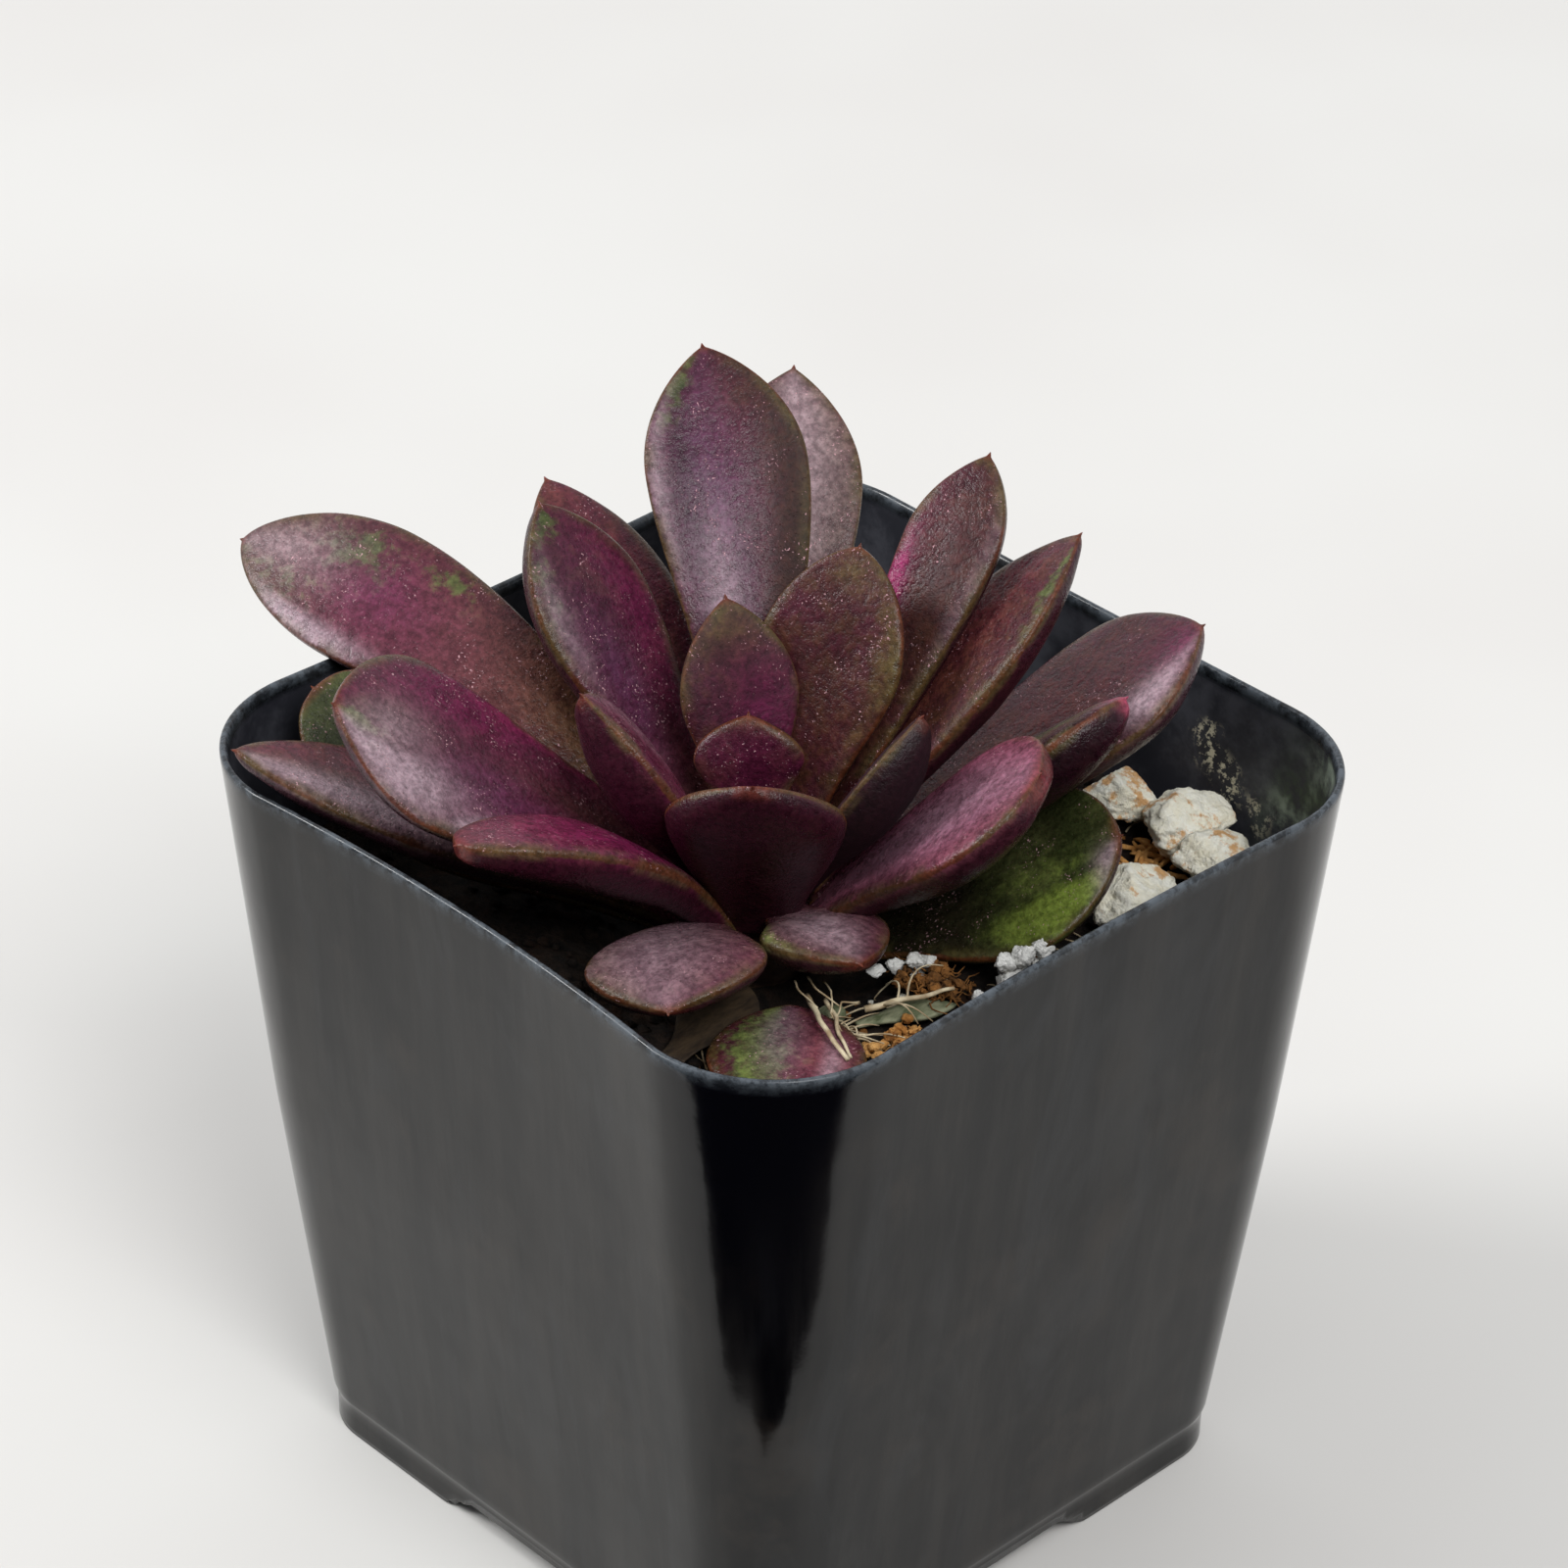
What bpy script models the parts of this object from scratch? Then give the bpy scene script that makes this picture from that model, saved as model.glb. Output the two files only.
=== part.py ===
"""A potted sand rose: a purple succulent rosette in a small square nursery pot.

Metres, +Z up. The origin is on the ground, under the middle of the object's bounds.
Lengths below are in millimetres and angles in degrees, measured from the pot's middle.
"""
import math

import bmesh
import bpy
from mathutils import Vector, noise

# Driving dimensions
NAME = "potted_sand_rose"
MM = 0.001
POT_X = 5.9
POT_Y = 0.0
SEAT = 0.3

# Pot: height, half-width and corner radius of each section
POT_HEIGHT = 58.2
POT_OUTSIDE = [(0.0, 23.95, 5.2), (2.9, 24.1, 5.6), (3.2, 24.3, 5.7), (30.0, 27.35, 8.1), (57.9, 30.0, 10.3),
               (58.2, 29.85, 10.2)]
POT_INSIDE = [(58.2, 29.4, 9.8), (57.9, 29.2, 9.6), (30.0, 26.6, 7.4), (3.2, 23.5, 5.0)]
FOOT_INSIDE = [(2.0, 22.8, 4.2), (0.0, 22.8, 4.2)]
SIDE_BOWS = [1.0, 0.1, 0.4, 1.1]
SIDE_STEPS = 6
CORNER_STEPS = 5
FOOT_LIFT = 1.7
FOOT_GAP_TOP = 6.4
FOOT_GAP_BOTTOM = 8.4
DRAIN_RADIUS = 2.2
DRAIN_REACH = 13.0
DRAIN_CUT = 8.0
CUTTER_REACH = 40.0

# Soil and stem
CROWN = (1.5, -3.5)
SOIL_LEVEL = 46.0
SOIL_DIP = 2.7
SOIL_DIP_REACH = (5.0, 15.0)
SOIL_ROUGH = 0.3
SOIL_WAVE = 0.22
SOIL_RINGS = [0.97, 0.85, 0.7, 0.54, 0.4, 0.28, 0.2]
SOIL_CORNER = 1.2
HELD_ABOVE = 4.0
SOCKET_RADIUS = 3.7
SOCKET_FLOOR = 37.0
STEM = [(37.4, 3.1), (44.0, 3.35), (46.0, 3.2), (48.0, 2.95), (50.0, 2.55), (52.0, 2.2), (53.5, 1.75),
        (54.7, 1.1)]
STEM_STEPS = 16

# Leaves: heading and its sway, base height, reach from the crown, length, pitch at the base and tip, width,
# twist, where the leaf is widest, how blunt its tip is, width of its base as a share, and thickness
LEAF_STEPS = 12
LEAF_RINGS = 11
LEAF_THICK = 2.75
LEAF_RISE = 1.7
LEAF_SLIM_ENDS = 0.25
LEAF_TOP_SHARE = 0.38
LEAF_CUP = 0.12
LEAF_BASE_TWIST = 0.35
LEAF_LINE_STEPS = 24
LEAF_KEYS = ("az", "sway", "z0", "r0", "L", "p0", "p1", "W", "twist", "peak", "sharp", "base", "T")
LEAF_ROWS = {
    "leaf_a": (-167, -1, 47.5, 3.6, 44, 43, -2, 11.2, -31, 0.73, 0.69, 0.22, 2.6),
    "leaf_b": (-132, 19, 48.8, 3.2, 31, 32, 38, 14.5, -24, 0.76, 0.72, 0.26, 2.2),
    "leaf_c": (-133, 2, 45.8, 3.8, 34.5, 30, 20.5, 10.3, 3.5, 0.62, 0.72, 0.26, 2.4),
    "leaf_d": (-147, -9, 44.8, 3.8, 31.8, 13.5, 36.5, 12.2, -19.5, 0.68, 0.42, 0.26, 2.2),
    "leaf_e": (-94, -13, 47.2, 3.6, 25.2, 64, 7, 8.8, 13.5, 0.58, 0.42, 0.24, 3.0),
    "leaf_f1": (167, 0, 48.6, 3.6, 31.8, 42, 26.5, 10.1, 0, 0.65, 0.85, 0.2, 2.75),
    "leaf_f2": (181, 2.5, 50.8, 3.0, 27, 39.5, 54, 10, 3, 0.7, 0.8, 0.24, 2.75),
    "leaf_g": (140.2, 12.5, 51.1, 3.0, 34.9, 62, 38.5, 11.3, -5.5, 0.74, 0.85, 0.2, 2.75),
    "leaf_h": (133.7, -2.5, 48.5, 3.6, 36.9, 51, 31, 11.2, 0, 0.73, 0.92, 0.2, 2.75),
    "leaf_i": (151.5, 3.5, 53, 2.4, 15.6, 74.5, 59, 8.3, 0, 0.575, 0.85, 0.34, 2.0),
    "leaf_j": (99.5, 12.5, 52.2, 3.0, 20.3, 65, 58, 10.7, 1.5, 0.6, 0.7, 0.28, 2.3),
    "leaf_k": (154.3, -9.5, 54.9, 0.9, 7.1, 76.5, 77.5, 7.6, -22, 0.57, 0.85, 0.28, 1.8),
    "leaf_l": (-44.7, -4, 49.9, 3.0, 16.2, 71, 58.5, 11.7, 1.5, 0.7, 0.77, 0.34, 2.4),
    "leaf_m": (-117.3, 1, 50.6, 3.0, 18.7, 70, 51, 9.0, 3.5, 0.56, 0.9, 0.34, 2.8),
    "leaf_n": (28, 3, 51.2, 3.0, 16.2, 62, 58, 8.7, 9, 0.55, 0.85, 0.34, 3.0),
    "leaf_o": (84, 24, 49.9, 3.1, 31.2, 54.5, 44.5, 7.2, 0, 0.78, 0.85, 0.3, 2.4),
    "leaf_p": (76, -2.5, 48.9, 3.4, 30.2, 48.3, 43.5, 10.2, -13, 0.64, 0.81, 0.26, 2.6),
    "leaf_q": (70, -13.5, 47, 3.8, 33, 27.5, 37, 14, -3, 0.78, 0.77, 0.2, 2.75),
    "leaf_r": (52.6, -4.5, 48.1, 3.7, 25.8, 34.5, 38, 8, -22.5, 0.75, 0.74, 0.2, 2.3),
    "leaf_s": (27, -4.5, 48.6, 3.5, 22.4, 46, 42, 13.1, 10, 0.71, 0.42, 0.2, 3.2),
    "leaf_t": (46.6, -9.5, 44.9, 3.9, 22.9, 16, 35, 14.9, 19.5, 0.67, 0.58, 0.24, 2.4),
    "leaf_u": (-60.5, 14, 46.5, 3.0, 16, 33, -6, 12.2, 11.5, 0.7, 0.82, 0.19, 2.75),
    "leaf_v": (-14.3, 0, 48.8, 3.4, 10.8, 18.7, 6, 9.1, -7.5, 0.515, 0.72, 0.26, 2.75),
}
LEAF_EXTRAS = {"leaf_l": dict(rise=1.0), "leaf_u": dict(off=(-1.6, -1.6))}
LEAVES = {name: dict(zip(LEAF_KEYS, row), **LEAF_EXTRAS.get(name, {})) for name, row in LEAF_ROWS.items()}

# Loose leaf pieces: where the base lies, heading, length, pitches, width and thickness
LOOSE_LEAVES = {
    "fallen_leaf": dict(at=(23.3, -22.3), az=133.5, L=17.5, p0=7, p1=-5, W=10.5, T=2.6),
    "dried_leaf": dict(at=(9.2, -18.5), az=103, L=9.0, p0=3, p1=5, W=5.6, T=0.9, twist=-4),
    "leaf_scrap": dict(at=(14.8, -7.0), az=67, L=7.2, p0=4, p1=-4, W=2.4, T=0.9, twist=-6),
    "leaf_stub": dict(at=(11.7, -7.2), az=8, L=2.0, p0=15, p1=10, W=1.5, T=1.2, base=0.7),
}

# Stones and grains: place, three half-sizes, turn about the upright and seed
STONES = {
    "pumice_a": ((9.6, 24.3), (2.5, 2.2, 2.0), 20, 3.1),
    "pumice_b": ((14.8, 24.7), (3.1, 2.3, 2.1), 60, 5.7),
    "pumice_c": ((19.9, 22.9), (2.9, 2.2, 1.9), 35, 8.3),
    "pumice_d": ((19.3, 16.3), (2.9, 2.3, 1.9), 75, 11.9),
    "perlite_a": ((12.4, 0.9), (1.1, 0.8, 0.6), 10, 14.2),
    "perlite_b": ((18.2, 5.6), (1.5, 1.0, 0.7), 50, 17.6),
}
STONE_LUMPS = 0.16
STONE_FLAT = 0.6
STONE_GRAIN = 1.6

# Chips: middle, length, width, thickness, turn and tilt
CHIPS = {
    "chip_a": ((18.7, -6.9), 4.8, 1.8, 0.7, 78, 0),
    "chip_b": ((15.0, 0.1), 5.4, 1.3, 0.6, 28, 0),
    "straw_bit": ((8.3, 4.9), 2.8, 0.6, 0.5, 60, -14),
}
STRAW_HEIGHT = 48.95

# Roots: points on the soil
ROOT_RADIUS = 0.28
ROOT_STEPS = 6
ROOTS = {
    "root_a": [(12.4, -8.2), (13.7, -8.8), (15.1, -9.4), (16.5, -10.0), (17.8, -10.8)],
    "root_b": [(14.1, -7.8), (14.9, -8.2), (15.8, -8.6), (16.6, -9.0), (17.4, -9.5)],
    "root_c": [(15.0, -6.6), (15.6, -5.0), (16.2, -3.4), (16.9, -1.8), (17.5, -0.4)],
}
ROOT_LIFTS = {"root_c": 1.25}

# Colours
COLOURS = {
    "pot": ((0.012, 0.012, 0.013), 0.3),
    "soil": ((0.06, 0.045, 0.035), 0.95),
    "stem": ((0.16, 0.1, 0.07), 0.8),
    "leaf": ((0.13, 0.05, 0.08), 0.45),
    "dried_leaf": ((0.16, 0.09, 0.05), 0.8),
    "leaf_scrap": ((0.2, 0.22, 0.15), 0.8),
    "pumice": ((0.7, 0.64, 0.52), 0.95),
    "perlite": ((0.85, 0.84, 0.8), 0.95),
    "root": ((0.45, 0.36, 0.26), 0.8),
    "chip": ((0.33, 0.16, 0.07), 0.9),
}


def clear_scene():
    """Remove what the start-up file holds."""
    for old in list(bpy.data.objects):
        bpy.data.objects.remove(old, do_unlink=True)


def new_collection(name):
    """A named collection in the scene."""
    collection = bpy.data.collections.new(name)
    bpy.context.scene.collection.children.link(collection)
    return collection


def material(slot):
    """One plain material for a slot."""
    found = bpy.data.materials.get(slot)
    if found:
        return found
    colour, roughness = COLOURS[slot]
    made = bpy.data.materials.new(slot)
    made.use_nodes = True
    shader = made.node_tree.nodes["Principled BSDF"]
    shader.inputs["Base Color"].default_value = (*colour, 1.0)
    shader.inputs["Roughness"].default_value = roughness
    made.diffuse_color = (*colour, 1.0)
    return made


def add_object(name, bm, slot, collection, smooth=True):
    """Turn a mesh in millimetres about the pot's middle into an object in metres."""
    for vertex in bm.verts:
        vertex.co = (vertex.co + Vector((POT_X, POT_Y, 0.0))) * MM
    for face in bm.faces:
        face.smooth = smooth
    mesh = bpy.data.meshes.new(name)
    bm.to_mesh(mesh)
    bm.free()
    made = bpy.data.objects.new(name, mesh)
    made.data.materials.append(material(slot))
    collection.objects.link(made)
    return made


def ease(x):
    """A smooth step from 0 to 1."""
    x = min(max(x, 0.0), 1.0)
    return x * x * (3.0 - 2.0 * x)


def between(sections, z):
    """Half-width and corner radius of a wall at a height."""
    ordered = sorted(sections)
    for low, high in zip(ordered, ordered[1:]):
        if z <= high[0]:
            share = (z - low[0]) / (high[0] - low[0])
            return low[1] + (high[1] - low[1]) * share, low[2] + (high[2] - low[2]) * share
    return ordered[-1][1], ordered[-1][2]


def square_ring(z, half, radius):
    """A rounded square whose sides bow inward towards the rim."""
    flat = half - radius
    ring = []
    for side, bow in enumerate(SIDE_BOWS):
        angle = math.radians(90 * side)
        out = Vector((math.cos(angle), math.sin(angle), 0.0))
        along = Vector((-math.sin(angle), math.cos(angle), 0.0))
        depth = bow * (z / POT_HEIGHT) ** 2
        for step in range(SIDE_STEPS):
            s = -1.0 + 2.0 * step / SIDE_STEPS
            ring.append(out * (half - depth * (1.0 - s * s)) + along * (flat * s) + Vector((0, 0, z)))
        centre = (out + along) * flat
        for step in range(CORNER_STEPS):
            turn = angle + math.radians(90 * step / CORNER_STEPS)
            ring.append(centre + Vector((math.cos(turn), math.sin(turn), 0.0)) * radius + Vector((0, 0, z)))
    return ring


def circle_ring(z, radius, steps, centre=CROWN):
    """A level circle about the crown."""
    ring = []
    for step in range(steps):
        turn = math.tau * step / steps
        ring.append(Vector((centre[0] + radius * math.cos(turn), centre[1] + radius * math.sin(turn), z)))
    return ring


def loft(rings):
    """A closed body through rings of unlike sections, capped at both ends."""
    bm = bmesh.new()
    rows = [[bm.verts.new(point) for point in ring] for ring in rings]
    count = len(rows[0])
    for lower, upper in zip(rows, rows[1:]):
        for i in range(count):
            j = (i + 1) % count
            bm.faces.new((lower[i], lower[j], upper[j], upper[i]))
    for row in (rows[0], rows[-1]):
        middle = bm.verts.new(sum((vertex.co for vertex in row), Vector()) / count)
        for i in range(count):
            bm.faces.new((row[i], row[(i + 1) % count], middle))
    bmesh.ops.recalc_face_normals(bm, faces=bm.faces)
    return bm


def foot_gap_cutter(name, turned, cutters):
    """A long wedge that opens the skirt between the feet on two opposite sides."""
    bm = bmesh.new()
    bmesh.ops.create_cube(bm, size=2.0)
    for vertex in bm.verts:
        across, height = (FOOT_GAP_BOTTOM, -1.0) if vertex.co.z < 0 else (FOOT_GAP_TOP, FOOT_LIFT)
        point = Vector((vertex.co.x * CUTTER_REACH, vertex.co.y * across, height))
        vertex.co = Vector((-point.y, point.x, point.z)) if turned else point
    return add_object(name, bm, "pot", cutters)


def drain_cutter(name, x, y, cutters):
    """A round drain hole through the pot's floor."""
    bm = bmesh.new()
    bmesh.ops.create_cone(bm, cap_ends=True, segments=20, radius1=DRAIN_RADIUS, radius2=DRAIN_RADIUS,
                          depth=DRAIN_CUT)
    bmesh.ops.translate(bm, verts=bm.verts, vec=(x, y, FOOT_INSIDE[0][0]))
    return add_object(name, bm, "pot", cutters)


def cut(target, cutter):
    """Take a cutter's volume out of an object."""
    modifier = target.modifiers.new(cutter.name, "BOOLEAN")
    modifier.operation = "DIFFERENCE"
    modifier.solver = "EXACT"
    modifier.object = cutter


def make_pot(collection, cutters):
    """The thin pot with its four feet and drain holes."""
    rings = [square_ring(*section) for section in FOOT_INSIDE + POT_OUTSIDE + POT_INSIDE]
    pot = add_object("pot", loft(rings), "pot", collection, smooth=False)
    for turned in (False, True):
        cut(pot, foot_gap_cutter(f"foot_gap_{int(turned)}", turned, cutters))
    for number in range(4):
        turn = math.radians(45 + 90 * number)
        x = DRAIN_REACH * math.cos(turn)
        y = DRAIN_REACH * math.sin(turn)
        cut(pot, drain_cutter(f"drain_{number}", x, y, cutters))


def soil_height(x, y):
    """Height of the soil's rough top, lower round the stem."""
    reach = math.hypot(x - CROWN[0], y - CROWN[1])
    near, far = SOIL_DIP_REACH
    dip = SOIL_DIP * (1.0 - ease((reach - near) / (far - near)))
    return SOIL_LEVEL - dip + SOIL_ROUGH * noise.noise(Vector((x, y, 7.0)) * SOIL_WAVE)


def make_soil(collection):
    """The potting mix, with a socket for the stem."""
    rings = []
    for z in (POT_INSIDE[-1][0] + SEAT, 30.0, SOIL_LEVEL - SOIL_CORNER):
        half, radius = between(POT_INSIDE, z)
        rings.append(square_ring(z, half - SEAT, radius - SEAT))
    edge = rings[-1]
    for share in SOIL_RINGS:
        ring = []
        for point in edge:
            x = CROWN[0] + (point.x - CROWN[0]) * share
            y = CROWN[1] + (point.y - CROWN[1]) * share
            ring.append(Vector((x, y, soil_height(x, y))))
        rings.append(ring)
    turns = [math.atan2(point.y - CROWN[1], point.x - CROWN[0]) for point in edge]
    for z in (soil_height(*CROWN), SOCKET_FLOOR):
        ring = []
        for turn in turns:
            x = CROWN[0] + SOCKET_RADIUS * math.cos(turn)
            y = CROWN[1] + SOCKET_RADIUS * math.sin(turn)
            ring.append(Vector((x, y, z)))
        rings.append(ring)
    add_object("soil", loft(rings), "soil", collection)


def make_stem(collection):
    """The short stem in its socket."""
    add_object("stem", loft([circle_ring(z, radius, STEM_STEPS) for z, radius in STEM]), "stem", collection)


def width_share(t, base, peak, sharp, rise):
    """Share of a leaf's full width at a place along it."""
    if t < peak:
        return base + (1.0 - base) * ease((t / peak) ** rise)
    return max(1.0 - ((t - peak) / (1.0 - peak)) ** 2, 0.0) ** sharp


def leaf_frame(leaf, t):
    """Direction, upper normal and sideways axis at a place along a leaf."""
    pitch = math.radians(leaf["p0"] + (leaf["p1"] - leaf["p0"]) * t ** 0.9)
    yaw = math.radians(leaf["az"] + leaf.get("sway", 0.0) * t)
    along = Vector((math.cos(pitch) * math.cos(yaw), math.cos(pitch) * math.sin(yaw), math.sin(pitch)))
    up = Vector((-math.sin(pitch) * math.cos(yaw), -math.sin(pitch) * math.sin(yaw), math.cos(pitch)))
    side = Vector((math.sin(yaw), -math.cos(yaw), 0.0))
    twist = math.radians(leaf.get("twist", 0.0) * (LEAF_BASE_TWIST + (1.0 - LEAF_BASE_TWIST) * t))
    normal = up * math.cos(twist) + side * math.sin(twist)
    across = side * math.cos(twist) - up * math.sin(twist)
    return along, normal, across


def leaf_middle(leaf, start, t):
    """The point on a leaf's curved middle line."""
    point = Vector(start)
    for step in range(LEAF_LINE_STEPS):
        point += leaf_frame(leaf, t * (step + 0.5) / LEAF_LINE_STEPS)[0] * (leaf["L"] * t / LEAF_LINE_STEPS)
    return point


def leaf_body(leaf, start):
    """A fleshy leaf drawn from a sphere, with its poles at the base and the tip."""
    bm = bmesh.new()
    bmesh.ops.create_uvsphere(bm, u_segments=LEAF_STEPS, v_segments=LEAF_RINGS, radius=1.0)
    half = leaf["W"] / 2
    for vertex in bm.verts:
        row = round(math.acos(max(-1.0, min(1.0, vertex.co.z))) / math.pi * LEAF_RINGS)
        turn = math.atan2(vertex.co.y, vertex.co.x)
        t = 1.0 - (1.0 - max(row - 1, 0) / (LEAF_RINGS - 1)) ** 1.5
        share = width_share(t, leaf.get("base", 0.34), leaf.get("peak", 0.6), leaf.get("sharp", 0.85),
                            leaf.get("rise", LEAF_RISE))
        swell = 1.0 - LEAF_SLIM_ENDS * (1.0 - math.sin(math.pi * t))
        thick = leaf.get("T", LEAF_THICK) * swell * share ** 0.6
        if row == 0:
            share = 0.0
            thick = 0.0
        _, normal, across = leaf_frame(leaf, t)
        x = half * share * math.cos(turn)
        y = thick * math.sin(turn) * (LEAF_TOP_SHARE if math.sin(turn) > 0 else 1.0 - LEAF_TOP_SHARE)
        y += LEAF_CUP * half * share * math.cos(turn) ** 2
        vertex.co = leaf_middle(leaf, start, t) + across * x + normal * y
    return bm


def make_rosette(collection):
    """The leaves round the stem."""
    for name, leaf in LEAVES.items():
        heading = math.radians(leaf["az"])
        off = leaf.get("off", (0.0, 0.0))
        x = CROWN[0] + leaf["r0"] * math.cos(heading) + off[0]
        y = CROWN[1] + leaf["r0"] * math.sin(heading) + off[1]
        add_object(name, leaf_body(leaf, (x, y, leaf["z0"])), "leaf", collection)


def seat(bm):
    """Lower or raise a loose piece so that it rests on the soil."""
    drop = min(vertex.co.z - soil_height(vertex.co.x, vertex.co.y) for vertex in bm.verts) - SEAT
    bmesh.ops.translate(bm, verts=bm.verts, vec=(0.0, 0.0, -drop))


def make_loose_leaves(collection):
    """The fallen leaf and the dried scraps on the soil."""
    for name, leaf in LOOSE_LEAVES.items():
        bm = leaf_body(leaf, (*leaf["at"], SOIL_LEVEL + HELD_ABOVE))
        seat(bm)
        slot = {"fallen_leaf": "leaf", "dried_leaf": "dried_leaf"}.get(name, "leaf_scrap")
        add_object(name, bm, slot, collection)


def make_stones(collection):
    """Lumpy stones with a flat underside."""
    for name, (place, sizes, turn, seed) in STONES.items():
        bm = bmesh.new()
        bmesh.ops.create_icosphere(bm, subdivisions=3 if name.startswith("pumice") else 2, radius=1.0)
        heading = math.radians(turn)
        for vertex in bm.verts:
            lump = 1.0 + STONE_LUMPS * noise.noise(vertex.co * STONE_GRAIN + Vector((seed, seed, seed)))
            point = vertex.co * lump
            point.z = max(point.z, -STONE_FLAT)
            x = point.x * sizes[0]
            y = point.y * sizes[1]
            vertex.co = Vector((place[0] + x * math.cos(heading) - y * math.sin(heading),
                                place[1] + x * math.sin(heading) + y * math.cos(heading),
                                SOIL_LEVEL + HELD_ABOVE + point.z * sizes[2]))
        seat(bm)
        add_object(name, bm, name.split("_")[0], collection)


def make_chips(collection):
    """Flat chips and a short straw."""
    for name, (place, length, width, thick, turn, tilt) in CHIPS.items():
        bm = bmesh.new()
        bmesh.ops.create_cube(bm, size=1.0)
        bmesh.ops.bevel(bm, geom=bm.edges[:], offset=0.15, segments=2, profile=0.6, affect="EDGES")
        heading = math.radians(turn)
        for vertex in bm.verts:
            x = vertex.co.x * length
            y = vertex.co.y * width * (1.0 - 0.35 * vertex.co.x)
            vertex.co = Vector((place[0] + x * math.cos(heading) - y * math.sin(heading),
                                place[1] + x * math.sin(heading) + y * math.cos(heading),
                                STRAW_HEIGHT + vertex.co.z * thick - x * math.sin(math.radians(tilt))))
        if name != "straw_bit":
            seat(bm)
        add_object(name, bm, "chip", collection)


def make_roots(collection):
    """Thin roots that lie on the soil."""
    for name, points in ROOTS.items():
        lift = SEAT + ROOT_LIFTS.get(name, 0.0)
        rings = []
        for number, (x, y) in enumerate(points):
            before = Vector(points[max(number - 1, 0)])
            after = Vector(points[min(number + 1, len(points) - 1)])
            heading = (after - before).normalized()
            ring = []
            for step in range(ROOT_STEPS):
                turn = math.tau * step / ROOT_STEPS
                side = ROOT_RADIUS * math.cos(turn)
                z = soil_height(x, y) + lift + ROOT_RADIUS * (1.0 + math.sin(turn))
                ring.append(Vector((x - heading.y * side, y + heading.x * side, z)))
            rings.append(ring)
        add_object(name, loft(rings), "root", collection)


def main():
    """Build every piece."""
    clear_scene()
    collection = new_collection(NAME)
    cutters = new_collection("cutters")
    make_pot(collection, cutters)
    make_soil(collection)
    make_stem(collection)
    make_rosette(collection)
    make_loose_leaves(collection)
    make_stones(collection)
    make_chips(collection)
    make_roots(collection)
    for cutter in cutters.objects:
        cutter.hide_render = True
        cutter.display_type = "WIRE"


main()
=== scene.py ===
"""Looks of the potted sand rose: a purple succulent rosette in a small square nursery pot.

Lengths are in millimetres from the middle of the pot's base, and angles in degrees, unless a name
says otherwise.
"""
import math
import random

import bmesh
import bpy
import numpy as np
from mathutils import Matrix, Vector, noise


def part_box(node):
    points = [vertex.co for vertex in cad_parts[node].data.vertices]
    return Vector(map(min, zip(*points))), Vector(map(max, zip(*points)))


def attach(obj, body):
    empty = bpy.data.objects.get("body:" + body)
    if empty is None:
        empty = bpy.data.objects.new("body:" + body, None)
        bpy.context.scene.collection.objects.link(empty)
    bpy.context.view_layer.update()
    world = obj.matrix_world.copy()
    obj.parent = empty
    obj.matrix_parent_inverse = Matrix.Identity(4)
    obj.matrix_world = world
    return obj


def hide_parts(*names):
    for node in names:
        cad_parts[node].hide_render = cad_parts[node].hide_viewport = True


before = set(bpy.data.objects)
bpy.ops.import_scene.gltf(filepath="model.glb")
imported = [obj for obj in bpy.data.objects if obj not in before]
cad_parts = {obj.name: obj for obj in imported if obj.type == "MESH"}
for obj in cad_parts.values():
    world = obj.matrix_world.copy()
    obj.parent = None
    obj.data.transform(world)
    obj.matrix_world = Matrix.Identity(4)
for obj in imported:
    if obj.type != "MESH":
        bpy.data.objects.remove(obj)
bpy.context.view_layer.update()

MM = 0.001
POT_PLACE = np.array([5.9, 0.0, 0.0])
SEED = 20

# Camera, fitted to the pot's corners
CAMERA_AZIMUTH = 45.76
CAMERA_ELEVATION = 33.0
CAMERA_ROLL = 1.108
CAMERA_DISTANCE = 376.3
CAMERA_RIGHT = 0.68
CAMERA_UP = 25.52
CAMERA_AIM_HEIGHT = 25.0
CAMERA_LENS = 121.48
SENSOR = 36.0

# Pot: height, half-width and corner radius of each section
POT_HEIGHT = 58.2
POT_OUTSIDE = [(0.0, 23.95, 5.2), (2.6, 24.08, 5.6), (3.3, 24.32, 5.7), (30.0, 27.35, 8.1),
               (58.2, 30.0, 10.3)]
POT_WALL = 0.6
POT_FLOOR = 3.0
FOOT_WALL = 1.2
SIDE_BOWS = [0.5, 0.1, 0.4, 1.1]
FOOT_LIFT = 1.7
FOOT_GAP_TOP = 6.4
FOOT_GAP_BOTTOM = 8.4
# The pot's corner that faces the camera is painted near black between these values of x minus y, a painted
# reflection of dark surroundings.
FRONT_DARK = (48.0, 53.0)
RING_SIDE_STEPS = 40
RING_CORNER_STEPS = 24
SKIRT_TOP = 2.4
FOOT_INSIDE = (2.4, 1.8, 0.9, 0.1)
FOOT_OUTSIDE = (0.1, 0.5, 1.2, 1.7, 2.4, 2.95, 3.05, 3.2, 3.35)
FOOT_EDGE = 0.15
WALL_TOP = 57.0
# Rim rings: height, inset, and how much of the lighter rim colour each gets, for both wear and a painted
# highlight.
RIM_RINGS = [(57.6, 0.0, 0.3), (57.95, 0.03, 0.8), (58.12, 0.1, 1.0), (58.2, 0.22, 1.0),
             (58.2, 0.38, 1.0), (58.12, 0.5, 1.0), (57.9, 0.58, 0.8), (57.5, 0.6, 0.3)]

# Marks on the inside of the wall
CRUST_SPOTS = [(12.9, 29.0, 52.6), (15.2, 29.0, 50.4), (18.5, 29.0, 48.9)]
ALGAE_CORNER = (26.0, 28.0)
MOSS_PLACE = (22.5, 29.0, 50.0)

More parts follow.
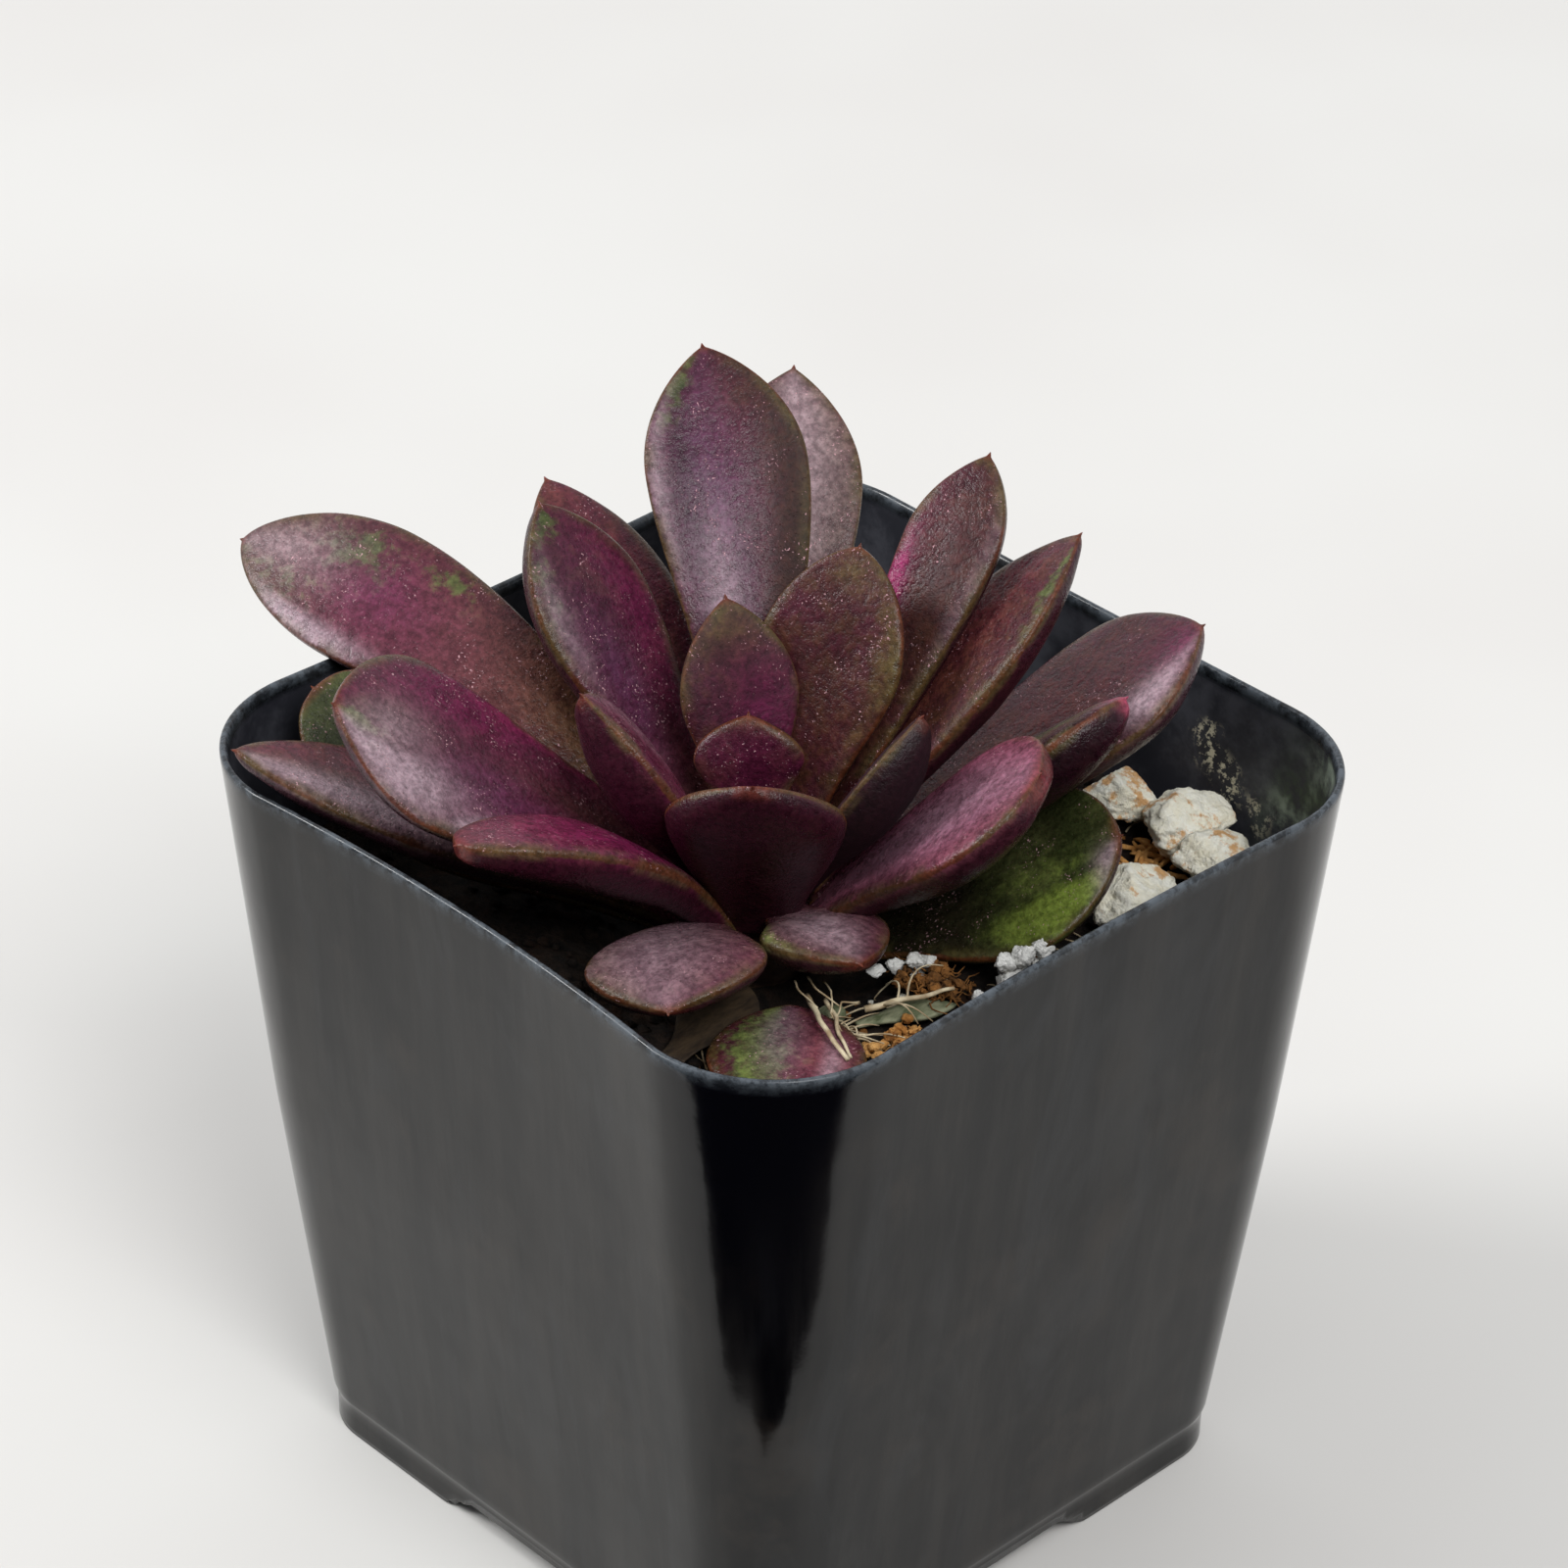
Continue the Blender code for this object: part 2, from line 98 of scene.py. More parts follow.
# Soil
CROWN = (1.5, -3.5)
SOIL_LEVEL = 46.0
SOIL_DIP = 2.7
SOIL_DIP_REACH = (5.0, 15.0)
SOIL_ROUGH = 0.3
SOIL_WAVE = 0.22
SOIL_GRAINS = [(0.45, 0.9, 3.0), (0.25, 2.1, 9.0)]
SOIL_MIDDLE = 25.0
SOIL_CLEAR = 1.2

# Leaves: heading, sway, height, reach, length, both pitches, width, twist, widest place, tip, base, depth
LEAF_KEYS = ("az", "sway", "z0", "r0", "L", "p0", "p1", "W", "twist", "peak", "sharp", "base", "low")
LEAF_ROWS = {
    "leaf_a": (-167, -1, 47.5, 3.6, 44, 43, -2, 11.2, -31, 0.73, 0.69, 0.45, 2.5),
    "leaf_b": (-132, 19, 48.8, 3.2, 31, 32, 38, 14.5, -24, 0.76, 0.72, 0.5, 1.9),
    "leaf_c": (-133, 2, 45.8, 3.8, 34.5, 30, 20.5, 10.3, 3.5, 0.62, 0.72, 0.3, 2.0),
    "leaf_d": (-147, -9, 44.8, 3.8, 31.8, 13.5, 38, 12.2, -19.5, 0.68, 0.42, 0.2, 1.6),
    "leaf_e": (-93, -14, 47.4, 3.6, 25.4, 65, 7, 8.8, 13.5, 0.58, 0.42, 0.5, 2.8),
    "leaf_f1": (167, 0, 48.6, 3.6, 31.8, 42, 26.5, 10.1, 0, 0.65, 0.85, 0.4, 2.2),
    "leaf_f2": (181, 2.5, 50.8, 3.0, 27, 39.5, 54, 10, 3, 0.7, 0.8, 0.45, 2.5),
    "leaf_g": (140.2, 12.5, 51, 3.0, 34.9, 62, 38.5, 11.3, -5.5, 0.74, 0.85, 0.4, 2.4),
    "leaf_h": (133.7, -2.5, 48.5, 3.6, 36.9, 51, 31, 11.2, 0, 0.73, 0.92, 0.4, 2.1),
    "leaf_i": (151.5, 3.5, 53, 2.4, 15.6, 74.5, 59, 8.3, 0, 0.575, 0.85, 0.5, 1.9),
    "leaf_j": (99.5, 12.5, 52.2, 2.8, 20.3, 65, 58, 10.7, 1.5, 0.6, 0.7, 0.5, 2.2),
    "leaf_k": (154.3, -9.5, 54.4, 1.4, 7.1, 76.5, 77.5, 7.6, -22, 0.57, 0.85, 0.6, 1.4),
    "leaf_l": (-44.7, -4, 48.4, 3.0, 17.6, 71, 58.5, 12, 1.5, 0.7, 0.77, 0.5, 2.0),
    "leaf_m": (-117.3, 1, 50.6, 3.0, 18.7, 70, 51, 9.7, 3.5, 0.56, 0.9, 0.5, 3.4),
    "leaf_n": (28, 3, 51.2, 3.0, 16.2, 62, 58, 8.7, -9, 0.55, 0.85, 0.5, 3.1),
    "leaf_o": (84, 24, 49.8, 3.1, 31.2, 54.5, 44.5, 7.2, 0, 0.78, 0.85, 0.5, 2.3),
    "leaf_p": (76, -2.5, 48.9, 3.4, 30.2, 48.3, 43.5, 10.2, -13, 0.64, 0.81, 0.5, 2.3),
    "leaf_q": (70, -13.5, 47, 3.8, 33, 27.5, 37, 14, -3, 0.78, 0.77, 0.45, 2.5),
    "leaf_r": (52.6, -4.5, 48.4, 3.7, 25.8, 34.5, 38, 8, -29, 0.75, 0.74, 0.5, 3.4),
    "leaf_s": (27, -4.5, 47.8, 3.5, 22.4, 46, 42, 13.1, 10, 0.71, 0.42, 0.5, 3.0),
    "leaf_t": (46.6, -9.5, 44.9, 3.9, 22.9, 16, 35, 14.9, 19.5, 0.67, 0.58, 0.4, 1.8),
    "leaf_u": (-60.5, 14, 47.8, 3.0, 16.5, 36, -6, 12.2, 11.5, 0.7, 0.82, 0.3, 1.9),
    "leaf_v": (-14.3, 0, 49.2, 3.4, 10.8, 18.7, 6, 9.1, -7.5, 0.515, 0.72, 0.4, 1.9),
}
LEAF_EXTRAS = {
    "leaf_l": dict(rise=1.0), "leaf_u": dict(off=(-1.6, -1.6)), "leaf_n": dict(top=0.6),
    "leaf_g": dict(cup=0.16), "leaf_o": dict(cup=0.14), "leaf_f2": dict(cup=0.12), "leaf_h": dict(cup=0.12),
    "leaf_i": dict(cup=0.12), "leaf_j": dict(cup=0.12), "leaf_p": dict(cup=0.12),
}
LEAVES = {name: dict(zip(LEAF_KEYS, row), **LEAF_EXTRAS.get(name, {})) for name, row in LEAF_ROWS.items()}
LOOSE_LEAVES = {
    "fallen_leaf": dict(at=(23.3, -22.3), az=133.5, L=17.5, p0=7, p1=-5, W=10.5, low=1.6),
    "dried_leaf": dict(at=(9.2, -18.5), az=103, L=9.0, p0=3, p1=5, W=5.6, low=0.4, top=0.4, twist=-4),
    "leaf_scrap": dict(at=(14.8, -7.0), az=67, L=7.2, p0=4, p1=-4, W=2.4, low=0.4, top=0.4, twist=-6),
    "leaf_stub": dict(at=(11.7, -7.2), az=8, L=2.0, p0=15, p1=10, W=1.5, low=0.6, top=0.5, base=0.7),
}
LEAF_ROW_COUNT = 84
LEAF_COLUMN_COUNT = 64
LEAF_TOP = 1.05
LEAF_CUP = 0.06
LEAF_BLUNT = 0.6
LEAF_BASE_TWIST = 0.35
BEAK_LENGTH = 0.3
BEAK_RADIUS = 0.22
UNDER_MARGIN = 1.2
LEAF_WAVE = ((3.6, 0.12), (1.3, 0.035))

# Tints: channel, place along and across (right is positive, seen outward), reach along and across, strength
TINTS = {
    "leaf_a": [("green", 0.8, 0.45, 0.09, 0.5, 0.8), ("green", 0.64, 0.7, 0.06, 0.3, 0.7),
        ("green", 0.9, -0.4, 0.12, 0.4, 0.6), ("olive", 0.25, 0.1, 0.3, 0.9, 0.9),
        ("olive", 0.93, 0, 0.16, 1, 0.9), ("pale", 0.93, 0.1, 0.12, 0.6, 0.6),
        ("pale", 0.8, -0.88, 0.12, 0.16, 1.3), ("magenta", 0.74, 0, 0.1, 0.6, 0.7),
        ("violet", 0.66, -0.1, 0.2, 1, 0.3), ("rose", 0.62, -0.1, 0.25, 1, 0.7),
        ("brown", 0.42, 0.3, 0.3, 0.9, 1)],
    "leaf_b": [("magenta", 0.66, 0.6, 0.4, 0.45, 0.8), ("hot", 0.5, 0.88, 0.2, 0.12, 0.3),
        ("magenta", 0.6, -0.3, 0.3, 0.5, 0.5), ("pale", 0.6, -0.88, 0.11, 0.18, 1.2),
        ("pale", 0.86, -0.6, 0.16, 0.35, 1.2), ("brown", 0.42, 0.1, 0.25, 0.7, 0.9),
        ("green", 0.96, -0.3, 0.07, 0.35, 1.1), ("pale", 0.87, -0.1, 0.1, 0.4, 0.5),
        ("olive", 0.9, -0.2, 0.15, 0.6, 0.6), ("violet", 0.6, -0.3, 0.25, 0.5, 0.5)],
    "leaf_c": [("rose", 0.7, 0.3, 0.4, 0.6, 0.6), ("pale", 0.8, -0.6, 0.3, 0.4, 0.9),
        ("olive", 0.9, -0.4, 0.15, 0.5, 0.6)],
    "leaf_d": [("green", 0.7, 0, 1.2, 3, 2), ("dark", 0.6, 0, 0.6, 2, 0.45)],
    "leaf_e": [("magenta", 0.5, -0.1, 0.4, 1, 0.7), ("hot", 0.55, 0, 0.4, 1, 0.25),
        ("rose", 0.75, 0, 0.3, 0.9, 0.5), ("brown", 0.97, 0, 0.08, 1, 0.7)],
    "leaf_f1": [("rose", 0.75, 0, 0.4, 1, 0.6), ("brown", 0.9, -0.3, 0.2, 0.5, 0.7)],
    "leaf_f2": [("green", 0.8, -0.8, 0.18, 0.3, 0.7), ("green", 0.96, -0.4, 0.07, 0.5, 0.9),
        ("pale", 0.72, -0.75, 0.16, 0.2, 0.5), ("violet", 0.5, -0.3, 0.3, 0.5, 0.7),
        ("magenta", 0.6, 0.6, 0.4, 0.4, 0.6), ("brown", 0.25, 0, 0.2, 1, 0.7)],
    "leaf_g": [("violet", 0.6, -0.3, 0.5, 0.6, 0.9), ("pale", 0.42, -0.3, 0.2, 0.3, 0.8),
        ("matte", 0.5, 0.8, 0.6, 0.5, 1), ("pale", 0.72, -0.88, 0.2, 0.12, 0.6),
        ("green", 0.93, -0.75, 0.1, 0.3, 0.9), ("brown", 0.45, 0.85, 0.6, 0.45, 1.3),
        ("dark", 0.5, 0.85, 0.55, 0.4, 0.65), ("brown", 0.88, 0.2, 0.12, 0.8, 0.6),
        ("dark", 0.72, -0.55, 0.2, 0.18, 0.5)],
    "leaf_h": [("pale", 0.75, 0.1, 0.45, 0.7, 0.8), ("olive", 0.7, 0.1, 0.4, 0.9, 1.2),
        ("brown", 0.8, 0.8, 0.4, 0.3, 0.6)],
    "leaf_i": [("olive", 0.92, -0.1, 0.14, 1.2, 0.9), ("matte", 0.7, 0, 0.6, 2, 1.2),
        ("dark", 0.6, 0, 0.5, 1.5, 0.25), ("magenta", 0.45, 0.3, 0.3, 0.7, 1)],
    "leaf_j": [("olive", 0.7, 0.85, 0.35, 0.2, 0.9), ("olive", 0.95, 0, 0.12, 1, 0.7),
        ("brown", 0.4, 0, 0.4, 1, 0.8), ("dark", 0.5, 0.1, 0.4, 0.5, 0.3)],
    "leaf_k": [("magenta", 0.5, 0.2, 0.5, 1, 0.5), ("dark", 0.5, 0, 0.5, 1, 0.3),
        ("olive", 0.95, 0, 0.1, 0.8, 0.5)],
    "leaf_m": [("magenta", 0.6, 0, 0.6, 1.2, 0.6), ("rose", 0.6, 0.2, 0.5, 0.6, 0.8),
        ("pale", 0.7, 0.5, 0.4, 0.6, 0.3), ("brown", 0.3, 0, 0.3, 1, 0.6)],
    "leaf_n": [("dark", 0.6, 0, 1, 3, 0.85), ("magenta", 0.6, 0, 0.6, 1.2, 0.5),
        ("matte", 0.5, 0, 0.9, 2, 1.1)],
    "leaf_o": [("hot", 0.56, -0.9, 0.15, 0.3, 3.5), ("matte", 0.5, 0.3, 0.6, 0.6, 0.8),
        ("dark", 0.55, 0.1, 0.6, 0.8, 0.5), ("brown", 0.5, 0.3, 0.5, 0.9, 1),
        ("pale", 0.72, 0.85, 0.2, 0.15, 0.3), ("rose", 0.8, 0, 0.2, 0.6, 0.4)],
    "leaf_p": [("green", 0.88, 0.75, 0.12, 0.22, 0.9), ("brown", 0.5, 0.1, 0.4, 1, 1),
        ("matte", 0.45, 0.6, 0.3, 0.7, 1), ("rose", 0.75, -0.2, 0.25, 0.6, 0.4)],
    "leaf_q": [("magenta", 0.95, 0.3, 0.09, 0.6, 0.8), ("pale", 0.84, 0.7, 0.12, 0.24, 1),
        ("matte", 0.5, 0.7, 0.25, 0.6, 1.1), ("rose", 0.7, -0.2, 0.3, 0.8, 0.4),
        ("brown", 0.5, 0.2, 0.3, 1, 0.9)],
    "leaf_r": [("olive", 0.65, 0, 0.35, 0.5, 1.2), ("green", 0.68, 0, 0.22, 0.5, 0.9),
        ("magenta", 0.5, -0.9, 0.5, 0.4, 1), ("dark", 0.6, 0.95, 0.6, 0.35, 0.8),
        ("dark", 0.3, 0, 0.3, 2, 0.5), ("hot", 1, 0, 0.05, 1.5, 0.9)],
    "leaf_s": [("rose", 0.6, 0, 0.7, 1.6, 1.3), ("magenta", 0.5, -0.4, 0.5, 0.5, 0.6),
        ("violet", 0.6, 0.2, 0.5, 0.6, 0.7), ("pale", 0.6, 0, 0.45, 0.7, 0.55),
        ("hot", 0.55, -0.1, 0.5, 0.8, 0.4), ("brown", 0.95, 0.6, 0.12, 0.5, 0.9)],
    "leaf_t": [("green", 0.5, 0, 1.2, 2.5, 1.6), ("lime", 0.78, 0.7, 0.2, 0.24, 1.8),
        ("lime", 0.75, 0.2, 0.2, 0.3, 0.5), ("dark", 0.3, 0, 0.35, 3, 1.1),
        ("dark", 0.5, -0.5, 0.45, 0.7, 0.8), ("magenta", 1, -0.2, 0.05, 0.6, 1.3),
        ("pale", 0.97, 0.6, 0.05, 0.4, 1)],
    "leaf_u": [("pale", 0.6, 0.2, 0.5, 0.8, 0.6), ("rose", 0.6, -0.2, 0.5, 0.9, 0.6),
        ("olive", 0.85, 0.8, 0.3, 0.3, 0.7)],
    "leaf_v": [("pale", 0.6, 0.1, 0.45, 0.6, 0.75), ("lime", 0.5, 0.92, 0.3, 0.14, 0.7),
        ("brown", 0.5, 0.6, 0.5, 0.5, 0.7), ("rose", 0.5, -0.3, 0.5, 0.8, 0.5)],
    "fallen_leaf": [("lime", 0.62, -0.5, 0.5, 0.26, 0.55), ("green", 0.55, -0.4, 0.7, 0.5, 1.1),
        ("pale", 0.75, -0.1, 0.3, 0.35, 0.4), ("rose", 0.5, 0.5, 0.5, 0.5, 0.9),
        ("pale", 0.45, 0.6, 0.3, 0.15, 0.6), ("brown", 0.5, -0.95, 0.8, 0.12, 1.2)],
}
# Tint channels: pale paints highlights and sheen into the leaf colour, and dark paints shade as well as
# darker skin.
CHANNELS = ("green", "lime", "olive", "brown", "magenta", "rose", "violet", "hot", "pale", "dark", "matte")

# Stones: shift along X and Y, spread, and rise of the upper half
STONES = {"pumice_a": (-0.1, 1.1, 1.4), "pumice_b": (-0.3, 1.25, 2.0), "pumice_c": (0.7, 1.22, 1.6),
          "pumice_d": (-0.5, 1.3, 1.5)}

# White grains: middle and half size of each block
PERLITE = {
    "perlite_a": [((12.2, -0.9, 47.1), (0.6, 0.7, 0.6)), ((12.9, 0.2, 47.3), (0.7, 0.8, 0.7)),
                  ((13.4, 1.1, 47.2), (0.6, 0.6, 0.5)), ((11.6, -2.2, 47.0), (0.6, 0.8, 0.4))],
    "perlite_b": [((19.2, 2.4, 49.3), (0.8, 0.9, 0.9)), ((19.7, 3.8, 49.6), (0.8, 0.9, 0.9)),
                  ((20.1, 5.0, 49.8), (0.8, 0.8, 0.9)), ((19.5, 3.2, 47.6), (1.0, 1.6, 1.3)),
                  ((20.0, 4.8, 47.8), (0.9, 1.0, 1.4)), ((18.6, 0.6, 47.2), (0.5, 0.5, 0.6))],
}
PERLITE_CRUMBS = 16

# Chips: number of crumbs and of fibres
CHIPS = {"chip_a": (34, 12), "chip_b": (40, 70)}

# Roots: path over the soil, height above it, number of hairs, and strands with their radius and bends
ROOTS = {
    "root_a": [(12.4, -8.2), (13.7, -8.8), (15.1, -9.4), (16.5, -10.0), (17.8, -10.8)],
    "root_b": [(14.1, -7.8), (14.9, -8.2), (15.8, -8.6), (16.6, -9.0), (17.4, -9.5)],
    "root_c": [(15.0, -6.6), (15.6, -5.0), (16.2, -3.4), (16.9, -1.8), (17.5, -0.4)],
}
ROOT_LIFTS = {"root_a": 0.55, "root_b": 0.55, "root_c": 1.75}
ROOT_HAIRS = {"root_a": 22, "root_b": 14, "root_c": 4}
ROOT_FAN = [
    (0.22, [(11.8, -8.8, 48.2), (13.9, -10.1, 48.9), (15.6, -11.2, 49.3), (17.4, -12.0, 49.4),
            (19.6, -12.6, 49.0)]),
    (0.17, [(13.0, -8.2, 48.2), (15.2, -9.4, 48.6), (17.2, -11.0, 48.9), (19.5, -12.1, 48.8)]),
    (0.08, [(10.4, -8.6, 48.6), (12.0, -9.6, 49.0), (14.2, -10.0, 49.0)]),
    (0.08, [(10.6, -7.6, 48.6), (12.6, -8.6, 49.0), (14.6, -8.4, 48.6)]),
    (0.07, [(11.6, -7.0, 48.4), (13.2, -7.8, 48.8), (14.8, -9.4, 48.6), (16.6, -10.0, 48.2)]),
    (0.07, [(14.7, -6.7, 48.2), (14.4, -8.0, 48.6), (15.4, -9.6, 48.6), (17.4, -10.6, 48.4)]),
]

# Litter: number, smallest and largest size, and the X from which it lies
LITTER = {"soil_crumbs": (420, 0.25, 0.7, -30.0), "bark_crumbs": (110, 0.2, 0.55, 9.0),
          "grit_crumbs": (60, 0.15, 0.4, 12.0)}
LITTER_REACH = 27.0
CROWN_CLEAR = 9.0
COIR_COUNT = 90
COIR_REACH = 26.0
COIR_FROM = 9.0
SPLINTER_PLACE = (14.5, 21.2)
SPLINTER_SPREAD = 1.3
SPLINTER_COUNT = 46

# Floor, and the dark card with a ragged near edge, seen only in reflections, which paints a dark reflection
# on the pot's front corner
FLOOR_REACH_M = 3.0
CARD_LIFT_M = 0.0002
CARD_NEAR = 53.0
CARD_SLANT = 0.12
CARD_RAGGED = 5.0
CARD_RAGGED_HALF = 90.0
CARD_TEETH = 25
CARD_FAR = 900.0
CARD_HALF = 900.0

# Light: each of the sky's steps as start, end and the level at both, and lamps in metres and watts
SKY_HEIGHT = (0.0, 1.0, 0.82, 0.72)
SKY_FRONT = (-0.1, 0.5, 1.0, 0.1)
SKY_FRONT_DROP = -0.6
SKY_COLOUR = (0.97, 0.98, 1.0, 1.0)
LAMP_AIM = (0.0, 0.0, 0.05)
LAMP_PLACE = (1.0, -0.3, 1.25)
LAMP_SIZE = 0.8
LAMP_POWER = 16.0
FILL_PLACE = (-1.0, -0.84, 1.0)
FILL_SIZE = 0.6
FILL_POWER = 15.5


def srgb(red, green, blue):
    """A colour of a screen, from 0 to 255, as linear light."""
    values = [value / 255.0 for value in (red, green, blue)]
    return tuple(v / 12.92 if v <= 0.04045 else ((v + 0.055) / 1.055) ** 2.4 for v in values)


class Shader:
    """A material's nodes, made with few words."""

    def __init__(self, name):
        self.material = bpy.data.materials.new(name)
        self.material.use_nodes = True
        self.tree = self.material.node_tree
        self.principled = self.tree.nodes["Principled BSDF"]
        self.place = self.node("ShaderNodeTexCoord").outputs["Object"]

    def node(self, kind, **settings):
        """One node with its settings."""
        made = self.tree.nodes.new(kind)
        for key, value in settings.items():
            setattr(made, key, value)
        return made

    def feed(self, socket, value):
        """Link a socket or set its number or colour."""
        if isinstance(value, bpy.types.NodeSocket):
            self.tree.links.new(value, socket)
        elif isinstance(value, tuple) and len(value) == 3 and len(socket.default_value) == 4:
            socket.default_value = (*value, 1.0)
        else:
            socket.default_value = value

    def stretched(self, x, y, z):
        """The place, scaled along each axis."""
        made = self.node("ShaderNodeMapping")
        self.feed(made.inputs["Vector"], self.place)
        made.inputs["Scale"].default_value = (x, y, z)
        return made.outputs["Vector"]

    def noise(self, size_mm, detail=3.0, roughness=0.5, vector=None, warp=0.0):
        """Cloudy noise whose lumps are of a size in millimetres."""
        made = self.node("ShaderNodeTexNoise")
        self.feed(made.inputs["Vector"], vector or self.place)
        made.inputs["Scale"].default_value = 1000.0 / size_mm
        made.inputs["Detail"].default_value = detail
        made.inputs["Roughness"].default_value = roughness
        made.inputs["Distortion"].default_value = warp
        return made.outputs["Fac"]

    def cells(self, size_mm):
        """Distance from the middles of cells of a size in millimetres."""
        made = self.node("ShaderNodeTexVoronoi")
        self.feed(made.inputs["Vector"], self.place)
        made.inputs["Scale"].default_value = 1000.0 / size_mm
        return made.outputs["Distance"]

    def attribute(self, name):
        """A number that is stored at each point of the mesh."""
        return self.node("ShaderNodeAttribute", attribute_name=name).outputs["Fac"]

    def math(self, operation, a, b):
        """Arithmetic on two values."""
        made = self.node("ShaderNodeMath", operation=operation)
        self.feed(made.inputs[0], a)
        self.feed(made.inputs[1], b)
        return made.outputs[0]

    def step(self, value, low, high, to_low=0.0, to_high=1.0):
        """A smooth step between two values."""
        made = self.node("ShaderNodeMapRange", interpolation_type="SMOOTHSTEP")
        for number, item in enumerate((value, low, high, to_low, to_high)):
            self.feed(made.inputs[number], item)
        return made.outputs[0]

    def mix(self, factor, a, b, blend="MIX"):
        """A mix of two colours."""
        made = self.node("ShaderNodeMix", data_type="RGBA", blend_type=blend)
        self.feed(made.inputs[0], factor)
        self.feed(made.inputs[6], a)
        self.feed(made.inputs[7], b)
        return made.outputs[2]

    def paint(self, amount, colour):
        """Lay a colour over the one so far."""
        self.colour = self.mix(amount, self.colour, colour)

    def grey(self, value):
        """A grey colour from one number."""
        made = self.node("ShaderNodeCombineColor")
        for socket in made.inputs:
            self.feed(socket, value)
        return made.outputs[0]

    def times(self, a, b, *more):
        """Two or more values multiplied."""
        product = self.math("MULTIPLY", a, b)
        for value in more:
            product = self.math("MULTIPLY", product, value)
        return product

    def bump(self, height, depth_mm, strength=1.0, normal=None):
        """A bump whose full height is a depth in millimetres."""
        made = self.node("ShaderNodeBump")
        self.feed(made.inputs["Height"], height)
        made.inputs["Distance"].default_value = depth_mm * MM
        made.inputs["Strength"].default_value = strength
        if normal:
            self.feed(made.inputs["Normal"], normal)
        return made.outputs["Normal"]

    def finish(self, colour, roughness, normal=None, **constants):
        """Feed the surface and return the material."""
        self.feed(self.principled.inputs["Base Color"], colour)
        self.feed(self.principled.inputs["Roughness"], roughness)
        if normal:
            self.feed(self.principled.inputs["Normal"], normal)
        for name, value in constants.items():
            self.feed(self.principled.inputs[name.replace("_", " ")], value)
        return self.material


